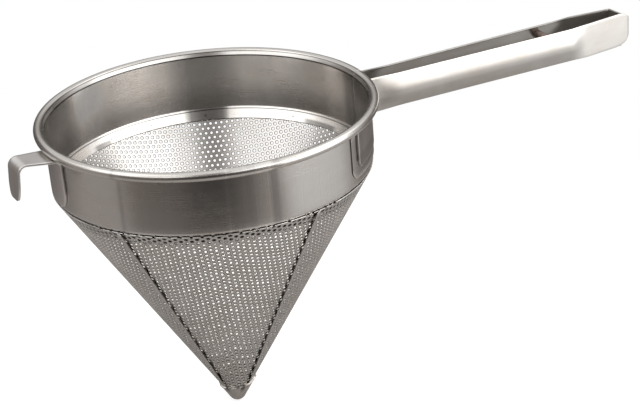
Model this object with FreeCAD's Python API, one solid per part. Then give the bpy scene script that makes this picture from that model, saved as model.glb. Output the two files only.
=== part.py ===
import FreeCAD, Part
import math
import os

os.makedirs("parts", exist_ok=True)

# Chinois strainer: a rolled collar with a curled rim, a two sheet perforated cone
# with a tip cap, a hairpin handle on a saddle plate and a hook across from it.
# Millimetres and degrees. +Z is up, +X runs along the handle, and the origin lies on
# the collar's axis where its straight wall meets the neck of the rim.

# Collar and rim
rim_diameter = 203.0
bead_diameter = 5.7
bead_rise = 5.0
curl_opening = 76.0
rim_overhang = 6.5
collar_wall = 0.8
collar_depth = 30.6
fold_radius = 1.5
lip_width = 8.0

# Cone sheets
cone_half_angle = 30.4
cone_sheet = 0.8
sheet_set_down = 3.5
tip_hole_radius = 4.0
front_bearing = -111.8
front_spread = 68.8
seam_width = 5.0
seam_cover = 3.2

# Perforation
hole_diameter = 2.0
hole_pitch = 3.5
hole_stride = 4
hole_margin = 1.8
lattice_turn = -4.0

# Tip cap
cap_sheet = 0.8
cap_nose_radius = 5.8
cap_length = 13.0

# Handle
strip_height = 22.2
strip_thickness = 1.2
strip_clearance = 1.05
root_gap = 16.4
grip_gap = 20.4
end_gap = 12.0
handle_reach = 204.1
end_plate = 36.0
end_web_setback = 5.2
end_chamfer_run = 5.5
end_chamfer_rise = 3.4
end_corner_run = 14.0
end_corner_rise = 6.5
end_corner_bulge_share = 0.74
root_bend = 5.0
root_straight = 5.0
root_ramp = 20.0
end_ramp = 14.0
crown_rise = 2.4
crown_draw_in = 0.8
foot_sweep = 53.5
foot_corner = 4.0
pin_diameter = 5.6
pin_setback = 61.5
pin_drop = 6.0

# Saddle plate under the handle's feet
saddle_sheet = 0.8
saddle_sweep = 57.2
saddle_drop = 0.5
saddle_lift = 3.6
saddle_corner = 6.0

# Hook
hook_bearing = 181.2
hook_width = 21.6
hook_leg_width = 17.6
hook_thickness = 1.2
hook_clearance = 0.3
hook_climb = 6.5
hook_splay = 5.5
hook_reach = 25.0
hook_root_bend = 2.6
hook_bend = 4.0
hook_lift = 2.1
hook_drop = 20.0
hook_taper = 11.0
hook_end_share = 0.4
hook_bulge_share = 0.82
hook_bulge_drop_share = 0.66

# Fits
seat_gap = 0.1
pin_gap = 0.15
cut_over = 5.0

# Worked out from the sizes above
full_turn = 360.0
half_turn = 180.0
quarter_turn = 90.0
axis_point = FreeCAD.Vector(0, 0, 0)
axis_up = FreeCAD.Vector(0, 0, 1)
cone_angle = math.radians(cone_half_angle)
wall_in = rim_diameter / 2 - rim_overhang
wall_out = wall_in + collar_wall
bead_radius = bead_diameter / 2
bead_ring = rim_diameter / 2 - bead_radius
bead_under = bead_rise - bead_radius
strip_top = bead_under - strip_clearance
strip_bottom = strip_top - strip_height
strip_middle = strip_top - strip_height / 2


def at(x, y, z=0):
    return FreeCAD.Vector(x, y, z)


def polar(radius, degrees, z=0):
    turn = math.radians(degrees)
    return at(radius * math.cos(turn), radius * math.sin(turn), z)


def line(a, b):
    return Part.LineSegment(a, b).toShape()


def arc(a, b, c):
    return Part.Arc(a, b, c).toShape()


def face_of(edges):
    return Part.Face(Part.Wire(edges))


def polygon_face(points):
    return Part.Face(Part.makePolygon(points + points[:1]))


def turned(shape, degrees):
    shape.rotate(axis_point, axis_up, degrees)
    return shape


def joined(first, *others):
    return first.multiFuse(list(others)).removeSplitter()


def save(node, shape):
    solids = shape.Solids
    whole = solids[0] if len(solids) == 1 else Part.makeCompound(solids)
    whole.exportStep("parts/" + node + ".step")


# The cone's frame: distances run down the slant from the fold's corner and out from the lip
down = at(-math.sin(cone_angle), 0, -math.cos(cone_angle))
out = at(math.cos(cone_angle), 0, -math.sin(cone_angle))
fold_corner = at(wall_out, 0, -collar_depth)
lip_apex = -collar_depth - wall_out / math.tan(cone_angle)


def on_cone(slant, lift):
    return fold_corner + down * slant + out * lift


def slant_at(radius, lift):
    return (wall_out + lift * math.cos(cone_angle) - radius) / math.sin(cone_angle)


def cone_band(slant_from, slant_to, lift_from, lift_to):
    section = polygon_face([
        on_cone(slant_from, lift_from),
        on_cone(slant_from, lift_to),
        on_cone(slant_to, lift_to),
        on_cone(slant_to, lift_from),
    ])
    return section.revolve(axis_point, axis_up, full_turn)


sheet_in = seat_gap
sheet_out = sheet_in + cone_sheet
cover_in = sheet_out + seat_gap
cover_out = cover_in + cone_sheet
cap_out = cover_in + cap_sheet

# Collar: straight wall, neck, curled rim and conical lip in one turned section
neck_run = bead_ring - wall_in
neck_span = math.hypot(neck_run, bead_rise)
neck_turn = math.atan2(bead_rise, neck_run) + math.asin(bead_radius / neck_span)
neck_along = at(math.cos(neck_turn), 0, math.sin(neck_turn))
neck_across = at(math.sin(neck_turn), 0, -math.cos(neck_turn))
bead_centre = at(bead_ring, 0, bead_rise)
curl_inside = bead_radius - collar_wall
curl_start = math.degrees(neck_turn) + quarter_turn
curl_end = curl_start + curl_opening - full_turn
curl_middle = (curl_start + curl_end) / 2


def on_curl(radius, degrees):
    turn = math.radians(degrees)
    return bead_centre + at(radius * math.cos(turn), 0, radius * math.sin(turn))


neck_corner_rise = (1 - math.sin(neck_turn)) * math.tan(neck_turn) - math.cos(neck_turn)
neck_corner = at(wall_out, 0, collar_wall * neck_corner_rise)
fold_outside = fold_radius + collar_wall
fold_reach = fold_outside * math.tan(cone_angle / 2)
fold_centre = at(wall_out - fold_outside, 0, fold_reach - collar_depth)
fold_bisector = at(math.cos(cone_angle / 2), 0, -math.sin(cone_angle / 2))

collar_section = face_of([
    line(at(wall_in, 0, 0), on_curl(bead_radius, curl_start)),
    arc(on_curl(bead_radius, curl_start), on_curl(bead_radius, curl_middle),
        on_curl(bead_radius, curl_end)),
    line(on_curl(bead_radius, curl_end), on_curl(curl_inside, curl_end)),
    arc(on_curl(curl_inside, curl_end), on_curl(curl_inside, curl_middle),
        on_curl(curl_inside, curl_start)),
    line(on_curl(curl_inside, curl_start), neck_corner),
    line(neck_corner, fold_centre + at(fold_outside, 0)),
    arc(fold_centre + at(fold_outside, 0), fold_centre + fold_bisector * fold_outside,
        fold_centre + out * fold_outside),
    line(fold_centre + out * fold_outside, on_cone(lip_width, 0)),
    line(on_cone(lip_width, 0), on_cone(lip_width, -collar_wall)),
    line(on_cone(lip_width, -collar_wall), fold_centre + out * fold_radius),
    arc(fold_centre + out * fold_radius, fold_centre + fold_bisector * fold_radius,
        fold_centre + at(fold_radius, 0)),
    line(fold_centre + at(fold_radius, 0), at(wall_in, 0, 0)),
])
collar = collar_section.revolve(axis_point, axis_up, full_turn)
save("collar", collar)


# Cone sheets: the front one lies under the seams of the back one
cone_floor = lip_apex - cut_over
cone_tall = -cone_floor
seam_half = front_spread / 2
seam_turn = math.radians(seam_half)
wedge_reach = rim_diameter


def wedge(spread_out, start):
    # The space between the two seams from start onwards, widened square to each seam
    half = (start + spread_out / math.sin(seam_turn)) * math.tan(seam_turn)
    side_run = at(wedge_reach, wedge_reach * math.tan(seam_turn))
    left = at(start, half, cone_floor)
    right = at(start, -half, cone_floor)
    far_left = left + side_run
    far_right = right + at(side_run.x, -side_run.y)
    body = polygon_face([left, right, far_right, far_left]).extrude(at(0, 0, cone_tall))
    return turned(body, front_bearing)


sheet_start = sheet_set_down
sheet_end = slant_at(tip_hole_radius, sheet_in)
nose_centre = lip_apex - cap_out / math.sin(cone_angle) + cap_nose_radius / math.sin(cone_angle)
nose_slant = slant_at(cap_nose_radius * math.cos(cone_angle), cap_out)
cap_start = nose_slant - cap_length
seam_end = cap_start - seat_gap

ring = cone_band(sheet_start, sheet_end, sheet_in, sheet_out)
cover = cone_band(sheet_start, seam_end, cover_in, cover_out)
riser = cone_band(sheet_start, seam_end, sheet_in, cover_out)

riser_inside = seam_width - cone_sheet
front_sheet = ring.common(wedge(seam_cover, seat_gap))
back_field = ring.cut(wedge(riser_inside, 0))
seam_covers = cover.common(wedge(seam_width, 0).cut(wedge(0, seat_gap)))
seam_risers = riser.common(wedge(seam_width, 0).cut(wedge(riser_inside, 0)))
back_sheet = joined(back_field, seam_covers, seam_risers)

# Perforation: each opening stands for a block of the fine holes and is as open as they are
row_step = hole_pitch * math.cos(math.radians(quarter_turn / 3)) * hole_stride
column_step = hole_pitch * hole_stride
opening_radius = hole_diameter * hole_stride / 2
opening_edge = opening_radius + hole_margin
cone_slant = wall_out / math.sin(cone_angle)
first_slant = cone_slant - lip_width - opening_edge
last_slant = cone_slant - cap_start + opening_edge
hole_depth = cover_out + cut_over
row_count = int(cone_slant / row_step) + 1
column_count = int(cone_slant / column_step) + 1
back_half = (full_turn - front_spread) / 2


def drill(slant_from_apex, degrees):
    start = on_cone(cone_slant - slant_from_apex, -cut_over)
    body = Part.makeCylinder(opening_radius, hole_depth + cut_over, start, out)
    return turned(body, degrees)


def drills(bearing, half_spread, lattice, edge):
    # Lattice points on the flat sheet, kept where the whole hole clears the margins
    found = []
    slope = math.radians(lattice)
    half_sector = math.radians(half_spread) * math.sin(cone_angle)
    for row in range(-row_count, row_count + 1):
        for column in range(-column_count, column_count + 1):
            across = row * row_step
            along = (column + (row % 2) / 2) * column_step
            x = along * math.cos(slope) - across * math.sin(slope)
            y = along * math.sin(slope) + across * math.cos(slope)
            slant = math.hypot(x, y)
            sector = math.atan2(y, x)
            if slant > first_slant or slant < last_slant:
                continue
            if slant * (half_sector - abs(sector)) < edge:
                continue
            found.append(drill(slant, bearing + math.degrees(sector / math.sin(cone_angle))))
    return Part.makeCompound(found)


front_holes = drills(front_bearing, seam_half, lattice_turn, opening_edge)
back_holes = drills(front_bearing + half_turn, back_half, quarter_turn, seam_width + opening_edge)
front_sheet = front_sheet.cut(front_holes)
back_sheet = back_sheet.cut(back_holes)
save("cone_sheet_front", front_sheet)
save("cone_sheet_back", back_sheet)

# Tip cap: a rounded cup over the open end of the cone
nose_inside = cap_nose_radius - cap_sheet
nose_middle = math.radians(cone_half_angle + (quarter_turn - cone_half_angle) / 2)


def on_nose(radius, turn):
    return at(radius * math.cos(turn), 0, nose_centre - radius * math.sin(turn))


cap_section = face_of([
    line(on_cone(cap_start, cover_in), on_cone(cap_start, cap_out)),
    line(on_cone(cap_start, cap_out), on_nose(cap_nose_radius, cone_angle)),
    arc(on_nose(cap_nose_radius, cone_angle), on_nose(cap_nose_radius, nose_middle),
        at(0, 0, nose_centre - cap_nose_radius)),
    line(at(0, 0, nose_centre - cap_nose_radius), at(0, 0, nose_centre - nose_inside)),
    arc(at(0, 0, nose_centre - nose_inside), on_nose(nose_inside, nose_middle),
        on_nose(nose_inside, cone_angle)),
    line(on_nose(nose_inside, cone_angle), on_cone(cap_start, cover_in)),
])
save("tip_cap", cap_section.revolve(axis_point, axis_up, full_turn))


# Saddle plate: a curved plate on the collar's wall with rounded lower corners
def corner_edges(shape, z, degrees):
    # Short edges that run out from the axis at one height and bearing
    found = []
    for edge in shape.Edges:
        ends = [v.Point for v in edge.Vertexes]
        if len(ends) < 2 or max(abs(p.z - z) for p in ends) > seat_gap:
            continue
        turns = [abs(math.degrees(math.atan2(p.y, p.x)) - degrees) for p in ends]
        if max(turns) < seat_gap:
            found.append(edge)
    return found


saddle_in = wall_out + seat_gap
saddle_out = saddle_in + saddle_sheet
saddle_top = -saddle_drop
saddle_bottom = saddle_lift - collar_depth
saddle_section = polygon_face([
    at(saddle_in, 0, saddle_top),
    at(saddle_out, 0, saddle_top),
    at(saddle_out, 0, saddle_bottom),
    at(saddle_in, 0, saddle_bottom),
])
saddle = turned(saddle_section, -saddle_sweep).revolve(axis_point, axis_up, saddle_sweep * 2)
saddle_corners = []
for saddle_side in (-saddle_sweep, saddle_sweep):
    saddle_corners += corner_edges(saddle, saddle_bottom, saddle_side)
save("handle_saddle", saddle.makeFillet(saddle_corner, saddle_corners))

# Handle: each side is a strip with a curved foot, a crowned grip and a flat end
foot_in = saddle_out + seat_gap
foot_out = foot_in + strip_thickness
crown_height = strip_height - crown_draw_in
root_face = root_gap / 2
grip_face = grip_gap / 2
end_face = end_gap / 2
bend_out = root_bend + strip_thickness
bend_y = -root_face - bend_out
bend_x = math.sqrt((foot_in + bend_out) ** 2 - bend_y ** 2)
bend_bearing = math.degrees(math.atan2(bend_y, bend_x))
bend_start = bend_bearing + half_turn
bend_middle = (bend_start + quarter_turn) / 2
bend_centre = at(bend_x, bend_y)
foot_middle = (bend_bearing - foot_sweep) / 2
root_end = bend_x + root_straight
handle_end = wall_out + handle_reach
plate_start = handle_end - end_plate
crown_start = root_end + root_ramp
crown_end = plate_start - end_ramp
web_face = handle_end - end_web_setback


def foot():
    inner = at(root_end, -root_face)
    outer = at(root_end, -root_face - strip_thickness)
    plan = face_of([
        arc(polar(foot_in, -foot_sweep), polar(foot_in, foot_middle), polar(foot_in, bend_bearing)),
        arc(polar(foot_in, bend_bearing), bend_centre + polar(bend_out, bend_middle),
            bend_centre + polar(bend_out, quarter_turn)),
        line(bend_centre + polar(bend_out, quarter_turn), inner),
        line(inner, outer),
        line(outer, bend_centre + polar(root_bend, quarter_turn)),
        arc(bend_centre + polar(root_bend, quarter_turn), bend_centre + polar(root_bend, bend_middle),
            bend_centre + polar(root_bend, bend_start)),
        arc(polar(foot_out, bend_bearing), polar(foot_out, foot_middle), polar(foot_out, -foot_sweep)),
        line(polar(foot_out, -foot_sweep), polar(foot_in, -foot_sweep)),
    ])
    plan.translate(at(0, 0, strip_bottom))
    body = plan.extrude(at(0, 0, strip_height))
    return body.makeFillet(foot_corner, corner_edges(body, strip_bottom, -foot_sweep))


def curve(points):
    bezier = Part.BezierCurve()
    bezier.setPoles(points)
    return bezier.toShape()


def strip_section(x, face, height, rise):
    # One cross section: two like curves, bulging away from the gap, and two short ends
    top = strip_middle + height / 2
    bottom = strip_middle - height / 2
    back = face + strip_thickness
    inner = [at(x, -face, bottom), at(x, -face - rise * 2, strip_middle), at(x, -face, top)]
    outer = [at(x, -back, top), at(x, -back - rise * 2, strip_middle), at(x, -back, bottom)]
    return Part.Wire([
        curve(inner),
        line(inner[2], outer[0]),
        curve(outer),
        line(outer[2], inner[0]),
    ])


def face_in_grip(x):
    # The two sides spread apart along the crowned grip
    share = (x - crown_start) / (crown_end - crown_start)
    return root_face + (grip_face - root_face) * share


def face_near_end(x):
    # The two sides draw together along the flat end plates
    share = (x - plate_start) / end_plate
    return grip_face + (end_face - grip_face) * share


def side(end):
    sections = [
        strip_section(root_end, root_face, strip_height, 0),
        strip_section(crown_start, root_face, crown_height, crown_rise),
        strip_section(crown_end, grip_face, crown_height, crown_rise),
        strip_section(plate_start, grip_face, strip_height, 0),
        strip_section(end, face_near_end(end), strip_height, 0),
    ]
    grip = Part.makeLoft(sections, True, True)
    return joined(foot(), grip)


def end_outline():
    # The end plate seen from the side: a chamfer above and a rounded corner below
    low = strip_bottom
    start = root_end - cut_over
    run_in = handle_end - end_corner_run
    run_out = handle_end - end_chamfer_run
    corner_top = low + end_corner_rise
    chamfer_low = strip_top - end_chamfer_rise
    bulge = at(run_in + end_corner_run * end_corner_bulge_share, 0,
               low + end_corner_rise * (1 - end_corner_bulge_share))
    face = face_of([
        line(at(start, 0, low - cut_over), at(run_in, 0, low - cut_over)),
        line(at(run_in, 0, low - cut_over), at(run_in, 0, low)),
        arc(at(run_in, 0, low), bulge, at(handle_end, 0, corner_top)),
        line(at(handle_end, 0, corner_top), at(handle_end, 0, chamfer_low)),
        line(at(handle_end, 0, chamfer_low), at(run_out, 0, strip_top)),
        line(at(run_out, 0, strip_top), at(run_out, 0, strip_top + cut_over)),
        line(at(run_out, 0, strip_top + cut_over), at(start, 0, strip_top + cut_over)),
        line(at(start, 0, strip_top + cut_over), at(start, 0, low - cut_over)),
    ])
    face.translate(at(0, -rim_diameter, 0))
    return face.extrude(at(0, rim_diameter * 2, 0))


front_side = side(handle_end)
outline = end_outline()
trim_box = Part.makeBox(end_plate + cut_over, rim_diameter, strip_height + cut_over * 2,
                        at(plate_start, -rim_diameter, strip_bottom - cut_over))
front_side = front_side.cut(trim_box.cut(outline))
save("handle_front", front_side)

save("handle_back", side(web_face).mirror(axis_point, at(0, 1, 0)))

# End web: the back strip's end, turned across to the front one
web_half = face_near_end(web_face) - seat_gap
web = Part.makeBox(strip_thickness, web_half * 2, strip_height,
                   at(web_face - strip_thickness, -web_half, strip_bottom))
save("handle_end_web", web)

# Cross pin between the two sides of the grip
pin_radius = pin_diameter / 2
pin_x = handle_end - pin_setback
pin_z = strip_top - pin_drop
pin_height_share = (pin_z + pin_radius - strip_middle) / (crown_height / 2)
pin_reach = face_in_grip(pin_x - pin_radius) + crown_rise * (1 - pin_height_share ** 2) - pin_gap
pin = Part.makeCylinder(pin_radius, pin_reach * 2, at(pin_x, -pin_reach, pin_z), at(0, 1, 0))
save("handle_pin", pin)

# Hook: a flat leg on the wall, an arm climbing out under the rim and a leg turned down
hook_in = wall_out + seat_gap
hook_top = bead_under - hook_clearance
leg_bottom = hook_lift - collar_depth
drop_bottom = hook_top - hook_drop
hook_half = hook_width / 2
leg_half = hook_leg_width / 2
hook_out = hook_in + hook_reach
root_inside = hook_root_bend + hook_thickness
bend_outside = hook_bend + hook_thickness
climb = math.radians(hook_climb)
splay = math.radians(hook_splay)
climb_along = at(math.cos(climb), 0, math.sin(climb))
climb_across = at(-math.sin(climb), 0, math.cos(climb))
root_pivot_x = hook_in + hook_thickness + hook_root_bend
root_pivot_z = (hook_top - root_inside / math.cos(climb)
                - (bead_ring - root_pivot_x) * math.tan(climb))
root_pivot = at(root_pivot_x, -hook_half, root_pivot_z)
bend_step = climb_across * (hook_root_bend - hook_bend)
drop_pivot_x = hook_out - bend_outside * math.cos(splay)
arm_length = (drop_pivot_x - root_pivot_x - bend_step.x) / math.cos(climb)
drop_pivot = root_pivot + climb_along * arm_length + bend_step
drop_length = (drop_pivot.z + bend_outside * math.sin(splay) - drop_bottom) / math.cos(splay)
arm_turn = quarter_turn + hook_climb
root_middle = (half_turn + arm_turn) / 2
drop_middle = (arm_turn + hook_splay) / 2


def around(pivot, radius, degrees):
    turn = math.radians(degrees)
    return pivot + at(radius * math.cos(turn), 0, radius * math.sin(turn))


def bend(pivot, radius, turn_from, turn_middle, turn_to):
    return arc(around(pivot, radius, turn_from), around(pivot, radius, turn_middle),
               around(pivot, radius, turn_to))


arm = face_of([
    line(around(root_pivot, root_inside, half_turn), around(root_pivot, hook_root_bend, half_turn)),
    bend(root_pivot, hook_root_bend, half_turn, root_middle, arm_turn),
    line(around(root_pivot, hook_root_bend, arm_turn), around(drop_pivot, hook_bend, arm_turn)),
    bend(drop_pivot, hook_bend, arm_turn, drop_middle, hook_splay),
    line(around(drop_pivot, hook_bend, hook_splay), around(drop_pivot, bend_outside, hook_splay)),
    bend(drop_pivot, bend_outside, hook_splay, drop_middle, arm_turn),
    line(around(drop_pivot, bend_outside, arm_turn), around(root_pivot, root_inside, arm_turn)),
    bend(root_pivot, root_inside, arm_turn, root_middle, half_turn),
]).extrude(at(0, hook_width, 0))

# The arm narrows from the wall leg's width to the drop leg's
arm_floor = drop_bottom - cut_over
arm_far = hook_out + cut_over
arm_plan = polygon_face([
    at(hook_in - cut_over, -hook_half, arm_floor),
    at(root_pivot_x, -hook_half, arm_floor),
    at(drop_pivot_x, -leg_half, arm_floor),
    at(arm_far, -leg_half, arm_floor),
    at(arm_far, leg_half, arm_floor),
    at(drop_pivot_x, leg_half, arm_floor),
    at(root_pivot_x, hook_half, arm_floor),
    at(hook_in - cut_over, hook_half, arm_floor),
])
arm = arm.common(arm_plan.extrude(at(0, 0, rim_diameter)))


def hook_plate(x, top, bottom, half):
    end_half = half * hook_end_share
    bulge_half = half * hook_bulge_share
    shoulder = bottom + hook_taper
    bulge_z = shoulder - hook_taper * hook_bulge_drop_share
    plan = face_of([
        line(at(x, -half, top), at(x, half, top)),
        line(at(x, half, top), at(x, half, shoulder)),
        arc(at(x, half, shoulder), at(x, bulge_half, bulge_z), at(x, end_half, bottom)),
        line(at(x, end_half, bottom), at(x, -end_half, bottom)),
        arc(at(x, -end_half, bottom), at(x, -bulge_half, bulge_z), at(x, -half, shoulder)),
        line(at(x, -half, shoulder), at(x, -half, top)),
    ])
    return plan.extrude(at(hook_thickness, 0, 0))


wall_leg = hook_plate(hook_in, root_pivot.z, leg_bottom, hook_half)
drop_leg = hook_plate(drop_pivot.x + hook_bend, drop_pivot.z, drop_pivot.z - drop_length, leg_half)
drop_leg.rotate(drop_pivot, at(0, 1, 0), -hook_splay)
hook = joined(arm, wall_leg, drop_leg)
save("hook", turned(hook, hook_bearing))
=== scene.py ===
"""Chinois strainer: its visible pieces, the steel they are made of and the studio that shows them."""

import math

import bmesh
import bpy
from mathutils import Matrix, Vector


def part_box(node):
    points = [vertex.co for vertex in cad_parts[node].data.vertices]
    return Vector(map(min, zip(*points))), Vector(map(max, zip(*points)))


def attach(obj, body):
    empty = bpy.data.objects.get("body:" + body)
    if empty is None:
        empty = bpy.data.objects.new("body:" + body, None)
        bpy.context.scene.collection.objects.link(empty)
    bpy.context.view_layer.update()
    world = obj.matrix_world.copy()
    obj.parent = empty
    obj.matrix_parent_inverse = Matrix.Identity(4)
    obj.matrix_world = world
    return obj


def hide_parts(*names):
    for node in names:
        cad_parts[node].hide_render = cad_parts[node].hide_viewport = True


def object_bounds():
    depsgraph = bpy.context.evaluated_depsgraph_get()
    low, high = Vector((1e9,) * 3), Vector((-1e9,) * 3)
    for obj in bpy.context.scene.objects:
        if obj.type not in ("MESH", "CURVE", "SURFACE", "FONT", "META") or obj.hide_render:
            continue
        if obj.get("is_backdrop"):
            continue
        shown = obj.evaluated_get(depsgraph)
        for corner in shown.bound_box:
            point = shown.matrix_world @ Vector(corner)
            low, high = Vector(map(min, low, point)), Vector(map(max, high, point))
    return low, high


bl_info = {
    "name": "Chinois strainer",
    "version": (1, 0, 0),
    "blender": (4, 5, 0),
    "location": "View3D > Sidebar > Strainer",
    "description": "Rolled collar, perforated cone, strip handle and hook of a chinois strainer",
    "category": "Add Mesh",
}

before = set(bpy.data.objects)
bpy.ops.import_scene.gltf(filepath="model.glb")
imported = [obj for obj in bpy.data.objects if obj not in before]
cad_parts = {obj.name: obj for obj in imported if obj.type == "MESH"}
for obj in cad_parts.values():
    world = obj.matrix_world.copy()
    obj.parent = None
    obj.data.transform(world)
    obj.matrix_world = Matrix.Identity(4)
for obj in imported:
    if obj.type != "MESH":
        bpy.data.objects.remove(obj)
cad_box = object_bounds()

# The unit of the sizes below, and how fine the meshes are
MM = 0.001
SHARP_EDGE = math.radians(38)
BEVELLED_EDGE = math.radians(50)
SAME_POINT = 0.0001 * MM
SAME_CELL_POINT = 0.01 * MM
ARC_STEP = 0.4 * MM
LEAST_ARC_PIECES = 4
ROUND_END = 0.7

# Bearings round the strainer's axis, in degrees
CAP_CREASES = (-148, -92, -20, 40, 100, 165)
LIP_WELDS = (109.6, 91.0, 68.7, 32.2)

# Tones by bearing: painted reflections as upright streaks on the collar's two faces, with a dark butt joint
# line inside, and darker and lighter patches on its lip
OUTER_PAINTED_REFLECTIONS = (
    (-180, 1.0), (-145.8, 1.0), (-145, 0.72), (-144.2, 0.96), (-140, 1.0), (-109.6, 1.0), (-108.4, 1.16),
    (-107, 1.0), (-104, 1.02), (-103, 1.12), (-101.5, 1.02), (-99.5, 1.1), (-98, 1.3), (-94.2, 1.35),
    (-93.2, 0.9), (-91.4, 0.85), (-90.4, 1.06), (-88, 1.08), (-84, 1.0), (180, 1.0),
)
INNER_PAINTED_REFLECTIONS_AND_JOINT = (
    (-180, 1.0), (-16, 0.6), (-4.1, 0.65), (-3.75, 0.03), (-3.05, 0.03), (-2.7, 0.65), (2, 0.75), (6, 1.5),
    (12, 1.5), (17, 1.05), (29, 0.92), (45, 0.74), (52, 0.8), (57, 0.66), (63, 0.55), (73, 0.55), (77, 0.75),
    (83, 1.2), (93, 1.4), (97, 1.35), (106, 1.3), (108, 1.35), (114, 1.7), (123, 2.0), (126, 1.35),
    (131, 0.9), (141, 0.75), (160, 0.7), (180, 1.0),
)
LIP_PATCHES = ((-180, 1.3), (59, 1.3), (61, 0.42), (75, 0.42), (77, 1.3), (180, 1.3))
LOW_LIP_PATCHES = (
    (-180, 1.0), (9, 1.0), (11, 0.4), (25, 0.4), (27.5, 1.0), (109, 1.0), (111, 0.45), (118, 0.45),
    (120, 1.0), (180, 1.0),
)

# Light by bearing from the camera's side: the room round the steel, and the bars of its ceiling
ROOM_LEVELS = (
    (-180, 0.10), (-135, 0.12), (-98, 0.42), (-72, 0.40), (-62, 0.37), (-56, 0.18), (-24, 0.13),
    (-11, 0.045), (10, 0.035), (18, 0.08), (30, 0.14), (49, 0.22), (61, 0.76), (104, 0.72), (128, 0.14),
    (180, 0.10),
)
CEILING_BARS = (
    (-180, 0.45), (-120, 0.5), (-99, 0.9), (-96, 0.3), (-91, 0.3), (-88, 1.0), (-16, 1.0), (-12, 0.14),
    (14, 0.14), (18, 1.0), (88, 1.0), (91, 0.3), (97, 0.3), (100, 0.9), (125, 0.5), (180, 0.45),
)

# Lamps: size across and up, place seen from the camera's side, and the point they look at, in metres
LAMPS = (
    ("key_lamp", "key_power", (1.0, 1.0), (-0.9, -0.2, 1.3), (0.0, 0.0, 0.0)),
    ("fill_lamp", "fill_power", (0.8, 0.8), (0.9, 0.3, 1.0), (0.0, 0.0, 0.0)),
    ("side_lamp", "side_power", (0.6, 0.5), (0.55, -0.18, 0.10), (0.2, 0.0, 0.0)),
)


# Property makers
def length(label, text, millimetres):
    return bpy.props.FloatProperty(name=label, description=text, default=millimetres * MM,
                                   unit="LENGTH", precision=5)


def angle(label, text, degrees):
    return bpy.props.FloatProperty(name=label, description=text, default=math.radians(degrees),
                                   subtype="ANGLE")


def share(label, text, value):
    return bpy.props.FloatProperty(name=label, description=text, default=value,
                                   min=0.0, max=1.0, subtype="FACTOR")


def amount(label, text, value):
    return bpy.props.FloatProperty(name=label, description=text, default=value)


def colour(label, text, red, green, blue):
    return bpy.props.FloatVectorProperty(name=label, description=text, default=(red, green, blue),
                                         min=0.0, max=1.0, size=3, subtype="COLOR")


class CollarSizes(bpy.types.PropertyGroup):
    """Sizes of the rolled collar"""

    rim_diameter: length("Rim diameter", "Across the outside of the curled rim", 203.0)
    rim_overhang: length("Rim overhang", "From the bore out to the edge of the rim", 6.5)
    bead_diameter: length("Bead diameter", "Thickness of the curled rim", 5.7)
    bead_rise: length("Bead rise", "Height of the curl's centre over the straight wall", 5.0)
    curl_opening: angle("Curl opening", "Turn that the curl leaves open", 76.0)
    neck_lean: angle("Neck lean", "Lean of the flank between the wall and the curl", 27.0)
    neck_radius: length("Neck radius", "Bend between the wall and the flank", 1.0)
    wall: length("Wall", "Thickness of the strip", 0.8)
    depth: length("Depth", "From the top of the straight wall to its lower fold", 30.6)
    fold_radius: length("Fold radius", "Inside radius of the lower fold", 1.5)
    lip_width: length("Lip width", "Width of the sloping lip under the fold", 8.0)
    butt_bearing: angle("Butt joint bearing", "Where the strip's two ends meet", -3.4)
    butt_width: length("Butt joint width", "Width of the groove along the joint", 0.8)
    butt_depth: length("Butt joint depth", "Depth of the groove on each face", 0.36)


class SheetSizes(bpy.types.PropertyGroup):
    """Sizes of the two perforated sheets of the cone"""

    half_angle: angle("Cone half angle", "Between the cone's axis and its side", 30.4)
    thickness: length("Sheet", "Thickness of the perforated sheet", 0.8)
    shown_thickness: length("Shown sheet", "Thickness of the sheet where it is punched", 0.4)
    seat_gap: length("Seat gap", "Gap between pieces that lie on each other", 0.1)
    set_down: length("Set down", "From the collar's fold down to the sheets' upper edge", 1.7)
    tip_hole_radius: length("Tip hole radius", "Open end of the cone inside the cap", 4.0)
    front_bearing: angle("Front bearing", "Middle of the front sheet", -111.8)
    front_spread: angle("Front spread", "Between the two seams, seen from above", 68.8)
    seam_width: length("Seam width", "Plain raised margin of the back sheet", 2.9)
    edge_lift: length("Edge lift", "How far the margin's free edge stands off", 0.6)
    seam_cover: length("Seam cover", "How far the front sheet runs under the margin", 2.1)
    seam_step: length("Seam step", "Width of the step up to the margin", 0.7)
    hole_diameter: length("Hole diameter", "Diameter of the perforation", 1.85)
    hole_pitch: length("Hole pitch", "From hole to hole", 3.5)
    cell_border: length("Cell border", "Least plain sheet between a six sided cell and an edge", 0.1)
    front_turn: angle("Front pattern turn", "Turn of the front sheet's rows", -4.0)
    back_turn: angle("Back pattern turn", "Turn of the back sheet's rows", 90.0)


class CapSizes(bpy.types.PropertyGroup):
    """Sizes of the tip cap"""

    sheet: length("Sheet", "Thickness of the cap", 0.8)
    nose_radius: length("Nose radius", "Outside radius of the rounded point", 5.8)
    length: length("Length", "From the cap's rim down to the rounded point, along its side", 13.0)
    skew: length("Skew", "How far the rim runs askew", 1.6)
    skew_bearing: angle("Skew bearing", "Where the rim stands highest", -35.0)
    ear: length("Ear", "How far the rim rises where it stands highest", 2.6)
    ear_spread: angle("Ear spread", "Width of that rise", 32.0)
    rim_flare: length("Rim flare", "How far the rim stands out", 0.3)
    crease_depth: length("Crease depth", "Depth of the pressed creases", 0.8)


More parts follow.
